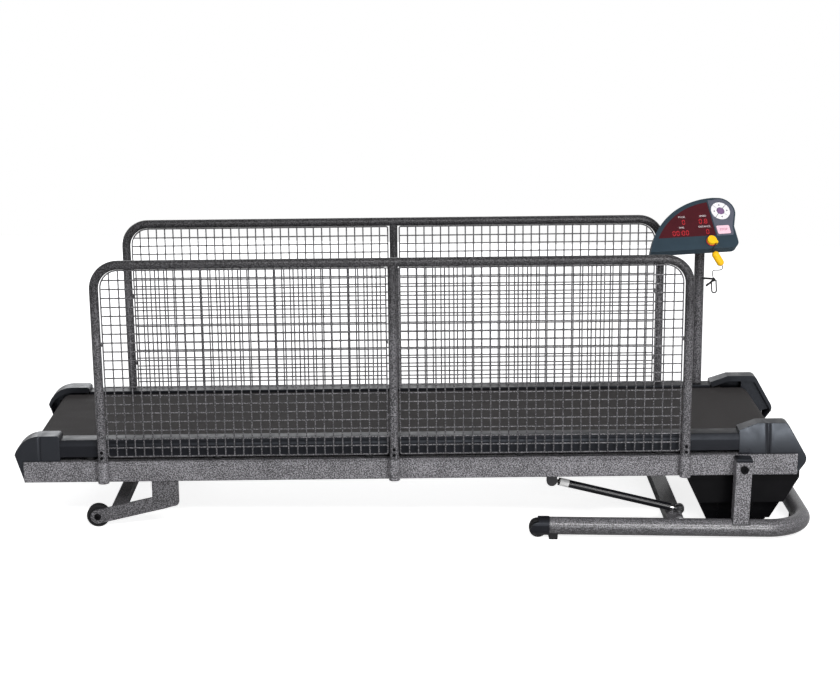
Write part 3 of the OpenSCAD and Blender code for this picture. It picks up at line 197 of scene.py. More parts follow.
# Materials
def hammered(name, level, rough, spec, relief=0.25, uneven=0.08, painted_shade=None):
    """Silver-vein paint: small pale flecks between darker dimples; painted_shade lists stops of height in metres
    and a factor, and multiplies the colour as painted shade over the height.
    """
    dark, mid, light = (scaled((1.0, 0.98, 1.05), level * k) for k in (0.34, 0.92, 2.2))
    m, t, b = shader(name, mid, rough, 0.1, spec)
    vec = place(t)
    cells = node(t, "TexVoronoi", {"Vector": vec}, Scale=330.0, Randomness=1.0)
    fleck = noise(t, vec, 290, 2, 0.6)
    cloud = noise(t, vec, 18, 2, 0.5)
    mix = weighted(t, cells.outputs["Distance"], 0.25, fleck, 0.75)
    mix = maths(t, "ADD", mix, maths(t, "MULTIPLY", maths(t, "SUBTRACT", cloud, 0.5), 0.1))
    paint = ramp(t, mix, [(0.42, dark), (0.5, mid), (0.58, light)])
    # Painted shade: the colour is multiplied by a factor that runs over the height, standing in for how light
    # falls.
    if painted_shade:
        height = node(t, "SeparateXYZ", {"Vector": vec}).outputs["Z"]
        dimmed = node(t, "VectorMath", {0: paint, 1: ramp(t, height, painted_shade)}, operation="MULTIPLY")
        paint = dimmed.outputs["Vector"]
    t.links.new(paint, b.inputs["Base Color"])
    t.links.new(ramp(t, mix, [(0.42, rough + uneven), (0.58, rough - uneven / 2)]), b.inputs["Roughness"])
    bump(t, b, mix, relief, 0.0008)
    return m


def plastic(name, color, rough, grain=900.0, depth=0.25, spec=0.3, drift=0.25, tint=(1, 1, 1)):
    """Moulded plastic: a fine spark-eroded grain, uneven gloss and a little colour drift."""
    m, t, b = shader(name, color, rough, spec=spec, tint=tint)
    vec = place(t)
    low, high = scaled(color, 1 - drift), [min(1, c) for c in scaled(color, 1 + drift)]
    t.links.new(ramp(t, noise(t, vec, 9, 4, 0.6), [(0.3, low), (0.7, high)]), b.inputs["Base Color"])
    gloss = [(0.25, max(0.05, rough - 0.07)), (0.75, min(1, rough + 0.08))]
    t.links.new(ramp(t, noise(t, vec, 34, 3), gloss), b.inputs["Roughness"])
    bump(t, b, noise(t, vec, grain, 2), depth, 0.0003)
    return m


def metal(name, color, rough, stretch=(1, 1, 1), scale=300.0):
    """Turned or drawn metal: fine streaks along one way and slightly uneven polish."""
    m, t, b = shader(name, color, rough, 1.0)
    streak = noise(t, place(t, stretch), scale, 4, 0.7)
    t.links.new(ramp(t, streak, [(0.25, scaled(color, 0.78)), (0.75, color)]), b.inputs["Base Color"])
    t.links.new(ramp(t, streak, [(0.2, rough + 0.12), (0.8, rough)]), b.inputs["Roughness"])
    bump(t, b, streak, 0.12, 0.0002)
    return m


def belt_cloth():
    """Running belt: a fine embossed diamond on dusty rubberised cloth, scuffed along its length."""
    m, t, b = shader("running_belt", (0.058, 0.055, 0.053), 0.78, 0, 0.06)
    weave = maths(t, "MULTIPLY", stripes(t, (330, 330, 0), 0.4), stripes(t, (330, -330, 0), 0.4))
    dust = noise(t, place(t, (1, 5, 1)), 7, 5, 0.65)
    tone = weighted(t, dust, 0.7, weave, 0.3)
    t.links.new(ramp(t, tone, [(0.2, (0.043, 0.040, 0.040)), (0.75, (0.068, 0.064, 0.064))]),
                b.inputs["Base Color"])
    t.links.new(ramp(t, dust, [(0.3, 0.62), (0.75, 0.82)]), b.inputs["Roughness"])
    bump(t, b, weave, 0.3, 0.0005)
    return m


def board_face():
    """Deck board: dark film over a wood grain along the belt."""
    m, t, b = shader("board", (0.020, 0.018, 0.017), 0.6, 0, 0.2)
    grain = noise(t, place(t, (3, 40, 40)), 8, 6, 0.65)
    t.links.new(ramp(t, grain, [(0.3, (0.014, 0.012, 0.011)), (0.7, (0.026, 0.022, 0.020))]),
                b.inputs["Base Color"])
    bump(t, b, grain, 0.2, 0.0004)
    return m


def window_tint():
    """Display window: dark red film with a slight haze."""
    m, t, b = shader("window", (0.062, 0.007, 0.011), 0.16, 0, 0.12, 0.05)
    haze = noise(t, place(t), 14, 3)
    t.links.new(ramp(t, haze, [(0.3, (0.052, 0.006, 0.010)), (0.7, (0.072, 0.008, 0.013))]),
                b.inputs["Base Color"])
    t.links.new(ramp(t, noise(t, place(t), 120, 2), [(0.3, 0.12), (0.7, 0.22)]), b.inputs["Roughness"])
    return m


def lit(name, color, strength):
    """Glowing segments of the display."""
    m, t, b = shader(name, color, 0.35)
    b.inputs["Emission Color"].default_value = (*color, 1)
    b.inputs["Emission Strength"].default_value = strength
    t.links.new(ramp(t, noise(t, place(t), 260, 2), [(0.3, scaled(color, 0.8)), (0.7, color)]),
                b.inputs["Base Color"])
    return m


def braid(name, color):
    """Braided cord: two crossing twills."""
    m, t, b = shader(name, color, 0.75, 0, 0.3)
    twill = maths(t, "MULTIPLY", stripes(t, (700, 700, 900)), stripes(t, (-700, 700, 900)))
    t.links.new(ramp(t, twill, [(0.1, scaled(color, 0.6)), (0.8, scaled(color, 1.6))]), b.inputs["Base Color"])
    bump(t, b, twill, 0.5, 0.0003)
    return m


# Each row holds what hammered, plastic or metal takes after the name
COOL = (0.80, 0.88, 1.0)
PAINTS = {
    "frame_paint": (0.134, 0.42, 0.3),
    "leg_paint": (0.080, 0.42, 0.35),
    # Painted shade: the base tubes are painted darker towards their bottom, near the floor.
    "base_paint": (0.104, 0.25, 0.42, 0.5, 0.1, [(0.014, 0.42), (0.05, 1.0)]),
    # Painted shade: the hoops and console post are painted darker towards their top and a little lighter low down.
    "hoop_paint": (0.085, 0.34, 0.20, 0.45, 0.08, [(0.36, 1.05), (0.55, 0.9), (0.70, 0.42)]),
    "wire": (0.078, 0.42, 0.25),
}
PLASTICS = {
    "black_plastic": ((0.0090, 0.0090, 0.0110), 0.34, 1100, 0.2, 0.42, 0.2, COOL),
    "strip_plastic": ((0.0085, 0.0085, 0.0105), 0.38, 1100, 0.2, 0.18, 0.2, COOL),
    "rubber": ((0.013, 0.013, 0.014), 0.72, 500, 0.4, 0.2),
    "motor": ((0.10, 0.10, 0.105), 0.45, 400, 0.3),
    "strut_black": ((0.008, 0.008, 0.010), 0.20, 160, 0.05, 0.28, 0.2),
    "label_blank": ((0.62, 0.62, 0.62), 0.45, 700, 0.08, 0.4, 0.06),
    "cover_plastic": ((0.0035, 0.0034, 0.0042), 0.34, 1300, 0.15, 0.08),
    "console": ((0.026, 0.044, 0.060), 0.46, 1500, 0.22, 0.15, 0.12),
    "keypad_grey": ((0.098, 0.106, 0.140), 0.46, 1500, 0.2, 0.25, 0.1),
    "key_white": ((0.90, 0.89, 0.92), 0.4, 900, 0.12, 0.4, 0.05),
    "key_purple": ((0.20, 0.11, 0.24), 0.38, 900, 0.12, 0.4, 0.15),
    "mark_grey": ((0.10, 0.10, 0.12), 0.5, 900, 0.1),
    "stop_pink": ((0.90, 0.60, 0.70), 0.4, 900, 0.12, 0.4, 0.06),
    "stop_word": ((0.42, 0.09, 0.17), 0.45, 900, 0.08),
    "caption_pale": ((0.74, 0.68, 0.70), 0.5, 900, 0.05),
    "key_yellow": ((0.90, 0.54, 0.012), 0.4, 900, 0.15, 0.25, 0.06),
    "key_red": ((0.48, 0.035, 0.03), 0.38, 900, 0.12),
    "toggle_orange": ((0.92, 0.52, 0.010), 0.42, 700, 0.2, 0.25, 0.08),
    "board_green": ((0.02, 0.12, 0.05), 0.4, 300, 0.2),
    "switch_red": ((0.42, 0.02, 0.018), 0.35, 900, 0.1),
}
METALS = {
    "roller_steel": ((0.62, 0.62, 0.63), 0.28, (40, 1, 40), 30),
    "zinc": ((0.30, 0.30, 0.31), 0.38),
    "dark_steel": ((0.055, 0.055, 0.058), 0.42),
    "black_steel": ((0.010, 0.010, 0.011), 0.5),
    "chrome": ((0.75, 0.75, 0.77), 0.12, (6, 120, 120), 20),
    "weld": ((0.10, 0.10, 0.105), 0.45, (1, 1, 1), 500),
}
MATS = {
    "running_belt": belt_cloth(),
    "board": board_face(),
    "window": window_tint(),
    "digit_red": lit("digit_red", (0.36, 0.006, 0.012), 0.55),
    "cord": braid("cord", (0.016, 0.016, 0.017)),
}
for make, table in ((hammered, PAINTS), (plastic, PLASTICS), (metal, METALS)):
    MATS.update({name: make(name, *values) for name, values in table.items()})

WORN_BY = {
    "frame_paint": "beam_near beam_far cross_members hoop_stubs",
    "leg_paint": "rear_legs rear_leg_bar",
    "base_paint": "base_tube base_cross_tube uprights strut_brackets",
    "hoop_paint": "hoop_near hoop_far console_post",
    "wire": "mesh_near mesh_far",
    "black_plastic": "side_cover_near side_cover_far rear_cap_near rear_cap_far front_cap_near front_cap_far"
                     " upright_caps power_inlet",
    "strip_plastic": "base_end_caps",
    "rubber": "base_pads deck_cushions drive_belt wheel_near wheel_far base_roller_near base_roller_far",
    "running_belt": "running_belt",
    "board": "deck_board",
    "roller_steel": "front_roller rear_roller",
    "zinc": "roller_brackets",
    "dark_steel": "lanyard_clip strut_lugs",
    "black_steel": "fasteners pivot_bolts",
    "motor": "motor",
    "strut_black": "strut_barrels",
    "chrome": "strut_rods motor_rotor",
    "cover_plastic": "motor_cover",
    "console": "console_front console_back",
    "window": "display_window",
    "key_white": "key_up key_down key_left key_right",
    "key_purple": "key_start",
    "stop_pink": "stop_button",
    "key_yellow": "safety_key",
    "toggle_orange": "lanyard_toggle",
    "cord": "lanyard",
    "board_green": "circuit_board controller",
    "switch_red": "power_switch",
}
for mat, wearers in WORN_BY.items():
    for wearer in wearers.split():
        nodes[wearer].data.materials.clear()
        nodes[wearer].data.materials.append(MATS[mat])


# Pieces: made in the part's frame, dressed, set on a body
def finish_piece(name, mesh, mat, body, angle=35):
    mesh.materials.clear()
    mesh.materials.append(MATS[mat])
    mesh.polygons.foreach_set("use_smooth", [True] * len(mesh.polygons))
    mesh.set_sharp_from_angle(angle=math.radians(angle))
    ob = bpy.data.objects.new(name, mesh)
    scene.collection.objects.link(ob)
    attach(ob, body)
    return ob


def piece(name, bm, mat, body, angle=35):
    bmesh.ops.recalc_face_normals(bm, faces=bm.faces)
    mesh = bpy.data.meshes.new(name)
    bm.to_mesh(mesh)
    bm.free()
    return finish_piece(name, mesh, mat, body, angle)


# Mesh helpers, with sizes in millimetres
def angles(count):
    return [2 * math.pi * k / count for k in range(count)]


def sweep(bm, path, radius, sides=8, up=None, closed=False):
    """Runs a round section along a path of points in metres."""
    path = [Vector(p) for p in path]
    count = len(path)
    rings = []
    side = None
    for i, p in enumerate(path):
        if closed:
            way = path[(i + 1) % count] - path[i - 1]
        else:
            way = path[min(i + 1, count - 1)] - path[max(i - 1, 0)]
        way.normalize()
        if up is not None:
            side = way.cross(up).normalized()
        elif side is None:
            side = way.orthogonal().normalized()
        else:
            side = (side - way * side.dot(way)).normalized()
        other = way.cross(side)
        r = (radius(i) if callable(radius) else radius) / 1000
        rings.append([bm.verts.new(p + r * (math.cos(a) * side + math.sin(a) * other)) for a in angles(sides)])
    for i in range(count if closed else count - 1):
        a, b = rings[i], rings[(i + 1) % count]
        for k in range(sides):
            bm.faces.new((a[k], a[(k + 1) % sides], b[(k + 1) % sides], b[k]))
    if not closed:
        bm.faces.new(rings[0][::-1])
        bm.faces.new(rings[-1])


def lathe(bm, profile, matrix, steps=40):
    """Turns points (radius, height) round the matrix's z axis; a profile that starts off the axis is closed."""
    tiny = 1e-6
    rings = []
    for r, h in profile:
        if r < tiny:
            rings.append([bm.verts.new(at(matrix, 0, 0, h))])
        else:
            rings.append([bm.verts.new(at(matrix, r * math.cos(a), r * math.sin(a), h)) for a in angles(steps)])
    following = rings[1:] + (rings[:1] if profile[0][0] > tiny else [])
    for a, b in zip(rings, following):
        if len(a) == 1 and len(b) == 1:
            continue
        for k in range(steps):
            j = (k + 1) % steps
            if len(a) == 1:
                bm.faces.new((a[0], b[k], b[j]))
            elif len(b) == 1:
                bm.faces.new((a[k], a[j], b[0]))
            else:
                bm.faces.new((a[k], a[j], b[j], b[k]))


def brick(bm, matrix, lo, hi, bevel=0.6):
    """A block with rounded edges."""
    lo, hi = Vector(lo) / 1000, Vector(hi) / 1000
    made = bmesh.ops.create_cube(bm, size=1, matrix=matrix @ Matrix.Translation((lo + hi) / 2)
                                 @ Matrix.Diagonal((*(hi - lo), 1)))
    edges = {e for v in made["verts"] for e in v.link_edges}
    bmesh.ops.bevel(bm, geom=list(edges), offset=bevel / 1000, segments=2, profile=0.5, affect="EDGES")


def solid(name, data, lift, matrix, mat, body):
    """Makes a piece of a flat curve that has a thickness."""
    ob = bpy.data.objects.new(name + ".flat", data)
    scene.collection.objects.link(ob)
    bpy.context.view_layer.update()
    mesh = bpy.data.meshes.new_from_object(ob.evaluated_get(bpy.context.evaluated_depsgraph_get()))
    bpy.data.objects.remove(ob)
    mesh.name = name
    mesh.transform(matrix @ Matrix.Translation((0, 0, lift)))
    return finish_piece(name, mesh, mat, body)


def plate(name, outlines, low, high, matrix, mat, body):
    """A flat plate with holes, from outlines on the matrix's plane."""
    data = bpy.data.curves.new(name, "CURVE")
    data.dimensions, data.fill_mode, data.extrude = "2D", "BOTH", (high - low) / 2000
    for outline in outlines:
        s = data.splines.new("POLY")
        s.points.add(len(outline) - 1)
        for p, (u, v) in zip(s.points, outline):
            p.co = (u / 1000, v / 1000, 0, 1)
        s.use_cyclic_u = True
    return solid(name, data, (low + high) / 2000, matrix, mat, body)


def words(name, text, u, v, size, low, high, matrix, mat, body, slot_name):
    data = bpy.data.curves.new(name, "FONT")
    data.body, data.size, data.extrude = text, size / 1000, (high - low) / 2000
    data.align_x, data.align_y = "CENTER", "CENTER"
    return solid(name, data, (low + high) / 2000, shifted(matrix, u, v, 0), mat, body)


def ring(u, v, r, count=48, start=0.0, end=360.0):
    """Points on a circle or, between two angles, on an arc."""
    gaps = count if end - start >= 360 else count - 1
    turns = (math.radians(start + (end - start) * k / gaps) for k in range(count))
    return [(u + r * math.cos(a), v + r * math.sin(a)) for a in turns]


# Lanyard: the cord leaves the safety key, runs through the toggle and ends in the clip
CORD_D = 2.4
ROUTE = [(-8, 195, 540), (-8.8, 190.8, 538.6), (-10.8, 187.2, 535.8), (-13.6, 184.4, 532), (-16.4, 182.7, 528),
         (-18.8, 182, 524), (-20.1, 182, 519.3), (-18.6, 182, 514.2), (-15.4, 182, 509.1), (-12.3, 182, 504),
         (-9.1, 182, 498.9), (-5.9, 182, 493.8), (-2.8, 182, 488.7), (0.4, 182, 483.6), (3.6, 182, 478.5),
         (6.8, 182, 473.4), (9, 182, 469.8), (10.3, 182, 465.3), (9.2, 182, 461), (6, 182, 457.9),
         (1.8, 182, 456.8), (-3.5, 182, 456.4), (-9, 182, 456.4), (-13.6, 182, 456.2), (-16.6, 182, 455.4),
         (-18.8, 182, 453.2), (-19.6, 182, 450.2), (-19.5, 182, 445), (-18.6, 182, 440), (-17.3, 182, 435),
         (-16.2, 182, 430.5)]


def smooth_path(points, steps=5):
    """A Catmull-Rom curve through the points."""
    pts = [Vector(p) for p in points]
    pts = [2 * pts[0] - pts[1]] + pts + [2 * pts[-1] - pts[-2]]
    out = []
    for a, b, c, d in zip(pts, pts[1:], pts[2:], pts[3:]):
        for k in range(steps):
            s = k / steps
            out.append(0.5 * (2 * b + (c - a) * s + (2 * a - 5 * b + 4 * c - d) * s * s
                              + (3 * b - a - 3 * c + d) * s ** 3))
    return out + [pts[-2]]


def add_clip():
    """Two toothed jaws on a sprung pivot, with a wire loop to squeeze."""
    bm = bmesh.new()
    hub = shifted(DECK, -15.5, 182, 428)
    for tilt, floor, width, length, teeth in ((5, 0.5, 9, 37, -1.7), (-38, -3, 8, 29.6, 0.4)):
        jaw = turned(hub, tilt, "Y")
        brick(bm, jaw, (-length, -width / 2, floor - 0.8), (0, width / 2, floor + 3.8), 1.2)
        for k in range(5):
            x = 1.5 - length + 2 * k
            brick(bm, jaw, (x, 0.8 - width / 2, teeth), (x + 1, width / 2 - 0.8, teeth + 1.8), 0.2)
    loop = turned(hub, -4, "Y")
    bend = [(7, -2)] + ring(0, -33.5, 7, 13, 0, -180) + [(-7, -2)]
    sweep(bm, [at(loop, x, 0, z) for x, z in bend], 2, 10)
    lathe(bm, [(0, -5.5), (2.6, -5.5), (4.5, -4.9), (4.5, 4.9), (2.6, 5.5), (0, 5.5)], turned(hub, 90, "X"), 24)
    coil = [at(hub @ Matrix.Rotation(k * 0.55, 4, "Y"), 5, 8.4 * k / 60 - 4.2, 0) for k in range(61)]
    sweep(bm, coil, 0.55, 6)
    clip = piece("lanyard_clip_jaws", bm, "rubber", "safety_key")
    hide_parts("lanyard_clip")
    return clip


def add_lanyard():
    path = [DECK @ (p / 1000) for p in smooth_path(ROUTE)]
    data = bpy.data.curves.new("lanyard_cord", "CURVE")
    data.dimensions, data.bevel_depth, data.bevel_resolution, data.use_fill_caps = "3D", CORD_D / 2000, 4, True
    s = data.splines.new("POLY")
    s.points.add(len(path) - 1)
    for p, co in zip(s.points, path):
        p.co = (*co, 1)
    data.materials.append(MATS["cord"])
    ob = bpy.data.objects.new("lanyard_cord", data)
    scene.collection.objects.link(ob)
    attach(ob, "safety_key")
    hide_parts("lanyard")
    clip = add_clip()


add_lanyard()


# Wire mesh: every wire at its pitch, welded crosswise, in a rim with one large corner beside the hoop's bend
def add_mesh(name, side, replaced):
    bm = bmesh.new()
    pitch, half, low, high, y = 25, 387.5, 48.5, 576, 304.5
    large, small = 50, 5
    rim_r, wire_r, apart = 2, 1.9, 0.9
    tabs_z, tab_in, tab_out, tab_h, tab_t = (152.3, 363.9), 389.5, 392.1, 12, 2.6

    def drop(inside):
        """How far the rim falls back at this distance into its large corner."""
        return large - math.sqrt(max(0.0, large ** 2 - inside ** 2)) if inside > 0 else 0.0

    for middle, turn in ((-565, 1), (-1375, -1)):
        def pt(x, z, off=0.0):
            return at(DECK, middle + turn * x, side * (y + off), z)
        rim = []
        for cx, cz, r, start, steps in ((half - small, low + small, small, -90, 4),
                                        (half - large, high - large, large, 0, 10),
                                        (small - half, high - small, small, 90, 4),
                                        (small - half, low + small, small, 180, 4)):
            rim += [pt(u, v) for u, v in ring(cx, cz, r, steps + 1, start, start + 90)]
        sweep(bm, rim, rim_r, 10, DECK.to_3x3() @ Vector((0, 1, 0)), True)
        for k in range(1, int(2 * half / pitch)):
            x = -half + k * pitch
            sweep(bm, [pt(x, low, apart), pt(x, high - drop(x - half + large), apart)], wire_r)
        for k in range(1, int((high - low) / pitch)):
            z = low + k * pitch
            sweep(bm, [pt(-half, z, -apart), pt(half - drop(z - high + large), z, -apart)], wire_r)
        for z in tabs_z:
            for s in (-1, 1):
                x0, x1 = sorted((middle + turn * s * tab_in, middle + turn * s * tab_out))
                brick(bm, DECK, (x0, side * y - tab_t / 2, z), (x1, side * y + tab_t / 2, z + tab_h), 0.3)
    ob = piece(name, bm, "wire", "deck")
    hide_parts(replaced)


for side, label in SIDES:
    add_mesh("wire_panels_" + label, side, "mesh_" + label)


# Moulded and folded pieces with rounded edges: the solid's own form, its outer edges eased
def crown(bm, base, top, depth, first, last):
    """Leans the outer wall of an end cap inwards, more and more towards its top."""
    wall_in, wall_w, levels, slices = 262, 24, 12, 7
    cuts = [((0, 0, base + (top - base) * k / levels), (0, 0, 1)) for k in range(levels)]
    cuts += [((first + (last - first) * k / slices, 0, 0), (1, 0, 0)) for k in range(slices + 1)]
    for spot, way in cuts:
        bmesh.ops.bisect_plane(bm, geom=bm.verts[:] + bm.edges[:] + bm.faces[:], plane_co=at(DECK, *spot),
                               plane_no=DECK.to_3x3() @ Vector(way))
    back = DECK.inverted()
    for v in bm.verts:
        p = back @ v.co * 1000
        outer = (abs(p.y) - wall_in) / wall_w
        if outer > 0 and p.z > base:
            p.y -= math.copysign(depth * ((p.z - base) / (top - base)) ** 2 * outer, p.y)
            v.co = DECK @ (p / 1000)


def soften(name, source, width, pick, mat, body, matrix=DECK, segments=3, lean=None):
    bm = bmesh.new()
    bm.from_mesh(nodes[source].data)
    bm.transform(nodes[source].matrix_world)
    same_spot, same_plane, sharp = 1e-6, math.radians(0.8), 0.45
    bmesh.ops.remove_doubles(bm, verts=bm.verts, dist=same_spot)
    bmesh.ops.dissolve_limit(bm, angle_limit=same_plane, verts=bm.verts, edges=bm.edges)
    back = matrix.inverted()
    eased = [e for e in bm.edges
             if len(e.link_faces) == 2 and e.is_convex and e.calc_face_angle() > sharp
             and pick(*(back @ v.co * 1000 for v in e.verts))]
    bmesh.ops.bevel(bm, geom=eased, offset=width / 1000, segments=segments, profile=0.5, affect="EDGES",
                    clamp_overlap=True)
    if lean:
        crown(bm, *lean)
    ob = piece(name, bm, mat, body, 32)
    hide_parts(source)


def on_line(axis, spots, near=0.05):
    """Picks edges along one axis that pass through given places on the other two (y without its sign)."""
    i, j = [k for k in range(3) if k != axis]

    def size(p, k):
        return abs(p[k]) if k == 1 else p[k]

    def pick(a, b):
        straight = abs(a[i] - b[i]) < near and abs(a[j] - b[j]) < near
        return straight and any(abs(size(a, i) - u) < near and abs(size(a, j) - v) < near for u, v in spots)
    return pick


# Limits that lie just inside the edges to be eased
CAP_OUT, STRIP_LEN, STRIP_IN, STRIP_TOP, PLUG_TOP, SHELL_BACK = 285.9, 100, 227, 68, 232.5, -29.95
FACE_ARC, FACE_RIGHT, FACE_LOW, FACE_LOBE, SAFETY_R = 256, 139, 27, 46, 20


def cap_edge(groove, width=1.5, slack=0.2):
    """Picks the outer edges of an end cap, but not those of its groove."""
    def in_groove(p):
        return groove - slack < p.x < groove + width + slack

    def pick(a, b):
        outside = min(abs(a.y), abs(b.y)) > CAP_OUT and max(a.z, b.z) > 1 - BEAM_HALF
        return outside and not (in_groove(a) and in_groove(b))
    return pick


def strip_edge(a, b):
    return abs(b.x - a.x) > STRIP_LEN and min(abs(a.y), abs(b.y)) > STRIP_IN and a.z > STRIP_TOP


def pan_edge(a, b):
    return min(abs(a.y), abs(b.y)) > PAN_SIDE - 0.1 and max(a.z, b.z) < -BEAM_HALF - 1


def face_edge(a, b):
    """Picks the front edges of the console's face, but not those of its openings."""
    def away(p, middle):
        return (p.xy - Vector(middle)).length
    outer = (max(away(a, ARC_MIDDLE), away(b, ARC_MIDDLE)) > FACE_ARC or a.x > FACE_RIGHT
             or min(a.y, b.y) < FACE_LOW and away(a, SAFETY_MIDDLE) > SAFETY_R
             or away(a, PAD_MIDDLE) > FACE_LOBE)
    return min(a.z, b.z) > -0.05 and outer


BEAM_CORNERS = [(y, z) for y in (BEAM_IN, BEAM_OUT) for z in (BEAM_HALF, -BEAM_HALF)]
UPRIGHT_CORNERS = [(x, y) for x in (-UPRIGHT_HALF, UPRIGHT_HALF) for y in (UPRIGHT_IN, UPRIGHT_OUT)]
CAPS = (("rear", -1956, (30, 102.5, 4, -2010, -1908)), ("front", 74, (30, 116.5, 12, -4, 150)))
for _, label in SIDES:
    soften("beam_tube_" + label, "beam_" + label, 3, on_line(0, BEAM_CORNERS), "frame_paint", "deck")
    soften("cover_strip_" + label, "side_cover_" + label, 1.6, strip_edge, "strip_plastic", "deck")
    for end, groove, lean in CAPS:
        soften("%s_cap_shell_%s" % (end, label), "%s_cap_%s" % (end, label), 7, cap_edge(groove), "black_plastic",
               "deck", segments=5, lean=lean)
soften("upright_posts", "uprights", 3, on_line(2, UPRIGHT_CORNERS), "frame_paint", "base", BASE)
soften("upright_plugs", "upright_caps", 3, lambda a, b: min(a.z, b.z) > PLUG_TOP, "strip_plastic", "base",
       BASE)
soften("motor_pan", "motor_cover", 4, pan_edge, "cover_plastic", "deck")
soften("console_face", "console_front", 3, face_edge, "console", "deck", CONSOLE, 4)
soften("console_shell", "console_back", 5, lambda a, b: max(a.z, b.z) < SHELL_BACK, "console", "deck",
       CONSOLE, 4)


# Wheels and end rollers: chamfered treads, dished sides and a hub
def add_wheel(name, replaced, r, bore):
    lo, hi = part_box(replaced)
    h = WHEEL_W / 2
    half = [(bore, -h), (bore + 5, -h), (bore + 6, 1.5 - h), (r - 8, 1.5 - h), (r - 6.5, -h), (r - 2, -h),
            (r, 2 - h), (r, -1.2), (r - 1, -0.6)]
    bm = bmesh.new()
    lathe(bm, half + [(a, -z) for a, z in half[::-1]], turned(Matrix.Translation((lo + hi) / 2), 90, "X"), 64)
    ob = piece(name, bm, "rubber", replaced)
    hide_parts(replaced)


for _, label in SIDES:
    add_wheel("wheel_tread_" + label, "wheel_" + label, WHEEL_R, 5.05)
    add_wheel("end_roller_tread_" + label, "base_roller_" + label, ROLLER_R, 4.05)


# Heads of the hoops' screws and of the rear axles
def head(bm, matrix, r, h, socket):
    lathe(bm, [(0, h * 0.35), (socket * 0.9, h * 0.35), (socket, h), (r * 0.6, h), (r * 0.9, h * 0.7),
               (r, h * 0.25), (r, 0), (0, 0)], matrix, 24)


for side, label in SIDES:
    bm = bmesh.new()
    for x in POSTS_X:
        for z in SCREWS_Z:
            head(bm, turned(shifted(DECK, x, side * SCREW_SEAT, z), -90 * side, "X"), 4.4, 1.6, 1.6)
    head(bm, turned(shifted(DECK, AXLE_X, side * AXLE_SEAT, AXLE_Z), -90 * side, "X"), 9.5, 4.2, 3.8)
    piece("screw_heads_" + label, bm, "black_steel", "deck")


# Weld beads where the base's tubes meet
def bead(bm, path, up, radius=2.3, step=2.8):
    fine = []
    for a, b in zip(path, path[1:] + path[:1]):
        steps = max(1, int((b - a).length / (step / 1000)))
        fine += [a.lerp(b, k / steps) for k in range(steps)]

    def ripple(i):
        return radius * (1 + 0.22 * math.sin(i * 1.9) + 0.12 * mnoise.noise((i * 0.7, 3, 1)))
    sweep(bm, fine, ripple, 7, up, True)


def around(u0, v0, u1, v1, count=10):
    """Points round a rectangle, with the same number on each side."""
    corners = [(u0, v0), (u1, v0), (u1, v1), (u0, v1)]
    return [(a[0] + (b[0] - a[0]) * k / count, a[1] + (b[1] - a[1]) * k / count)
            for a, b in zip(corners, corners[1:] + corners[:1]) for k in range(count)]


def tube_at(off):
    """Half width of the base tube at this distance from its middle."""
    return math.sqrt(BASE_R ** 2 - off ** 2)


for side, label in SIDES:
    bm = bmesh.new()
    deep = (UPRIGHT_OUT - UPRIGHT_IN) / 2
    foot = around(-UPRIGHT_HALF, -deep, UPRIGHT_HALF, deep)
    bead(bm, [at(BASE, x, side * BASE_Y + y, BASE_Z + tube_at(y)) for x, y in foot], Vector((0, 0, 1)))
    joint = around(CROSS_X[0], CROSS_Z[0], CROSS_X[1], CROSS_Z[1])
    bead(bm, [at(BASE, x, side * (BASE_Y - tube_at(z - BASE_Z)), z) for x, z in joint], Vector((0, 1, 0)))
    piece("weld_beads_" + label, bm, "weld", "base", 60)


# Console: keypad panel, display, marks and the red collar of the safety key
SEGMENTS = {"0": "abcdef", "8": "abcdefg"}


def digits(u, v, h, text):
    """Outlines of slanted seven-segment digits, from their lower left corner."""
    out = []
    w, t, slant = h * 0.5, h * 0.15, 0.12
    bars = {"a": (0, h, w, h), "g": (0, h / 2, w, h / 2), "d": (0, 0, w, 0), "f": (0, h / 2, 0, h),
            "e": (0, 0, 0, h / 2), "b": (w, h / 2, w, h), "c": (w, 0, w, h / 2)}
    for ch in text:
        if ch in ":.":
            for y in ([h * 0.3, h * 0.7] if ch == ":" else [t / 2]):
                out.append(ring(u + t * 0.9 + y * slant, v + y, t * 0.6, 8))
            u += t * 2.2
            continue
        for name in SEGMENTS[ch]:
            x0, y0, x1, y1 = bars[name]
            way = Vector((x1 - x0, y1 - y0)).normalized()
            off = Vector((-way.y, way.x)) * t / 2
            a, b = Vector((x0, y0)) + way * t * 0.15, Vector((x1, y1)) - way * t * 0.15
            a1, b1 = a + way * t / 2, b - way * t / 2
            out.append([(u + p.x + p.y * slant, v + p.y) for p in (a, a1 + off, b1 + off, b, b1 - off, a1 - off)])
        u += w + t * 2.4
    return out


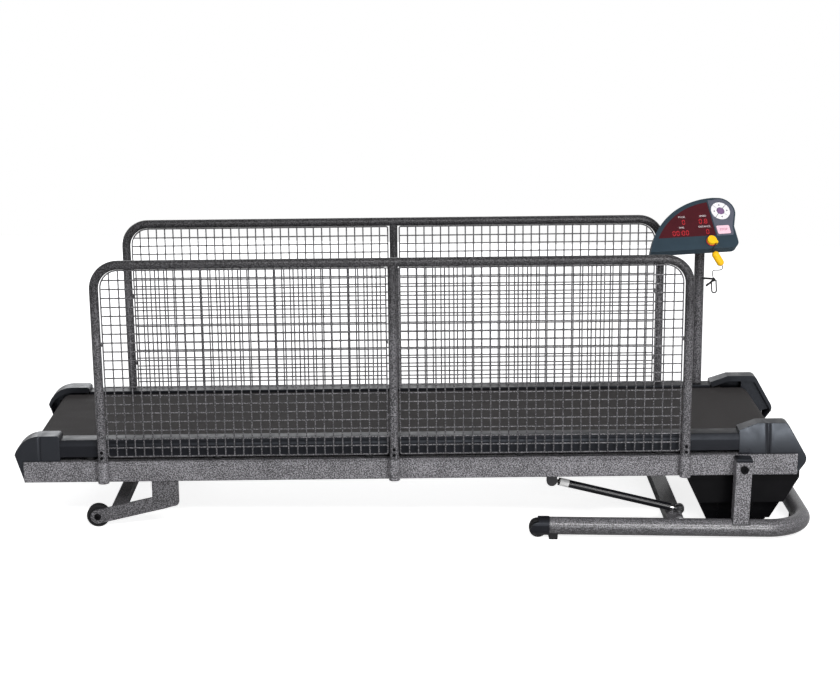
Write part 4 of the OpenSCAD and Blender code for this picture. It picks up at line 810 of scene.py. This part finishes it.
def add_console():
    lobe = ring(*PAD_MIDDLE, 42.5, 60, -24, 112)
    outline = [(78, 46.5), (128, 46.5), (131, 49.5), (133.5, 60), (134, 75)] + lobe + [(78, 172)]
    corner = ((-20.9, -10.5), (-20.9, 10.5), (-17, 14.6), (17, 14.6), (20.9, 10.5), (20.9, -10.5), (17, -14.6),
              (-17, -14.6))
    stop = [(STOP_MIDDLE[0] + x, STOP_MIDDLE[1] + y) for x, y in corner]
    plate("keypad_panel", [outline, ring(*PAD_MIDDLE, 30.2, 72), stop], 0.02, 0.35, CONSOLE, "keypad_grey", "deck")
    tall = 14.5
    shown = (digits(-21.5, 92.5, tall, "0") + digits(32.5, 92.5, tall, "0.8") + digits(-60.5, 55.5, tall, "00:00")
             + digits(47, 56, tall, "0"))
    plate("display_digits", shown, -0.4, -0.25, CONSOLE, "digit_red", "deck")
    captions = (("PULSE", -18.5, 118), ("SPEED", 49, 118), ("TIME", -28, 81), ("DISTANCE", 45.5, 81))
    for i, (word, u, v) in enumerate(captions):
        words("display_caption_%d" % i, word, u, v, 8.2, -0.4, -0.28, CONSOLE, "caption_pale", "deck", "window")
    for name, turn in (("right", 0), ("up", 90), ("left", 180), ("down", 270)):
        c, s = math.cos(math.radians(turn)), math.sin(math.radians(turn))
        arrow = [(PAD_MIDDLE[0] + x * c - y * s, PAD_MIDDLE[1] + x * s + y * c)
                 for x, y in ((18.5, -3.2), (24, 0), (18.5, 3.2))]
        plate("key_mark_" + name, [arrow], 1.2, 1.32, CONSOLE, "mark_grey", "key_" + name)
    words("stop_word", "STOP", *STOP_MIDDLE, 10.5, 1.2, 1.32, CONSOLE, "stop_word", "stop_button", "stop_pink")
    bm = bmesh.new()
    lathe(bm, [(14.1, 0.4), (15.6, 0.4), (15.9, 1.0), (15.6, 3.4), (14.9, 4.0), (14.1, 4.0)],
          shifted(CONSOLE, *SAFETY_MIDDLE, 0), 48)
    piece("key_collar", bm, "key_red", "safety_key")


add_console()


# Motor cover: faint ribs on its sides and a vented belly plate
def add_cover_details():
    rib_w, rib_low, rib_high = 3.2, -176, -128
    bm = bmesh.new()
    for side, _ in SIDES:
        for x in (-52, 46):
            y0, y1 = sorted((side * (PAN_SIDE - 0.5), side * (PAN_SIDE + 1.2)))
            brick(bm, DECK, (x - rib_w / 2, y0, rib_low), (x + rib_w / 2, y1, rib_high), 0.5)
    piece("motor_cover_ribs", bm, "cover_plastic", "deck")
    back, front, edge, r = -64, 70, 203, 18
    belly = (ring(front, edge, r, 9, 0, 90) + ring(back, edge, r, 9, 90, 180)
             + ring(back, -edge, r, 9, 180, 270) + ring(front, -edge, r, 9, 270, 359.9))
    u, v = 2.5, 55
    vents = [[(x - u, y - v), (x + u, y - v), (x + u, y + v), (x - u, y + v)]
             for x in range(-48, 61, 18) for y in (-125, 0, 125)]
    plate("motor_belly_plate", [belly] + vents, PAN_FLOOR - 7, PAN_FLOOR + 0.2, DECK, "cover_plastic", "deck")


add_cover_details()

# Inner skirts of the front caps, beside the belt
SKIRT_T = 2.2
SKIRT = ([(89, -28), (89, 112)] + ring(117, 98.5, 13.5, 8, 90, 29.5) + ring(154.5, 14, 22.5, 12, 29.5, -20)
         + [(153, 2), (153, -28)])
for (_, label), low in zip(SIDES, (247.6, -249.8)):
    plate("inner_skirt_" + label, [SKIRT], low, low + SKIRT_T, PROFILE, "black_plastic", "deck")


# Gas struts: a blank band on each barrel, an eye and a collar at each rod's foot
def add_strut_details():
    bands, sockets = bmesh.new(), bmesh.new()
    for side, _ in SIDES:
        top = shifted(DECK, STRUT_TOP[0], side * STRUT_Y, STRUT_TOP[1])
        lathe(bands, [(STRUT_R + 0.02, 24), (STRUT_R + 0.2, 24), (STRUT_R + 0.2, 50), (STRUT_R + 0.02, 50)],
              turned(top, 90 + STRUT_DIP, "Y"), 48)
        foot = shifted(turned(top, STRUT_DIP, "Y"), STRUT_LEN, 0, 0)
        lathe(sockets, [(5.5, -6.05), (11.6, -6.05), (12.2, -5.4), (12.2, 5.4), (11.6, 6.05), (5.5, 6.05)],
              turned(foot, 90, "X"), 40)
        lathe(sockets, [(5.2, -18), (6.6, -17.4), (7.2, -14), (7.2, -9)], turned(foot, 90, "Y"), 32)
    piece("strut_bands", bands, "label_blank", "strut_barrels")
    piece("strut_sockets", sockets, "dark_steel", "strut_rods")


add_strut_details()


# Stage: a white floor that keeps a faint shadow, white surroundings and soft lamps
def add_stage():
    m, t, b = shader("floor", (0.86, 0.86, 0.86), 0.9, 0, 0.0)
    path = node(t, "LightPath")
    lift = maths(t, "MULTIPLY", path.outputs["Is Camera Ray"], 0.82)
    glow = node(t, "Emission", {"Strength": lift}, Color=(1, 1, 1, 1))
    both = node(t, "AddShader", {0: b.outputs[0], 1: glow.outputs[0]})
    t.links.new(both.outputs[0], t.nodes["Material Output"].inputs["Surface"])
    mesh = bpy.data.meshes.new("floor")
    reach, behind = 9, 4
    mesh.from_pydata([(-reach, -reach, 0), (reach, -reach, 0), (reach, behind, 0), (-reach, behind, 0)], [],
                     [(0, 1, 2, 3)])
    mesh.materials.append(m)
    floor = bpy.data.objects.new("floor", mesh)
    scene.collection.objects.link(floor)

    world = bpy.data.worlds.new("studio")
    scene.world = world
    world.use_nodes = True
    t = world.node_tree
    path = node(t, "LightPath")
    soft = node(t, "Background", Color=(0.97, 0.98, 1, 1), Strength=0.35)
    white = node(t, "Background", Color=(1, 1, 1, 1), Strength=1.0)
    mirrored = maths(t, "MULTIPLY", path.outputs["Is Glossy Ray"], 0.6)
    seen = maths(t, "MAXIMUM", path.outputs["Is Camera Ray"],
                 maths(t, "MAXIMUM", mirrored, path.outputs["Is Transmission Ray"]))
    mix = node(t, "MixShader", {0: seen, 1: soft.outputs[0], 2: white.outputs[0]})
    t.links.new(mix.outputs[0], t.nodes["World Output"].inputs["Surface"])

    aim = Vector((0, 0, 0.35))
    for name, spot, size, power, color in (("key", (1.0, -4.6, 3.6), (4.6, 0.5), 190, (1, 0.99, 0.98)),
                                           ("fill", (2.1, -5.4, 1.2), (1.4, 1.8), 112, (1, 1, 1)),
                                           ("back", (-1.2, 4.8, 1.9), (3.6, 1.6), 45, (0.97, 0.98, 1))):
        data = bpy.data.lights.new(name, "AREA")
        data.shape, data.energy, data.color = "RECTANGLE", power, color
        data.size, data.size_y = size
        lamp = bpy.data.objects.new(name, data)
        scene.collection.objects.link(lamp)
        lamp.location = spot
        lamp.rotation_euler = (aim - Vector(spot)).to_track_quat("-Z", "Y").to_euler()


add_stage()
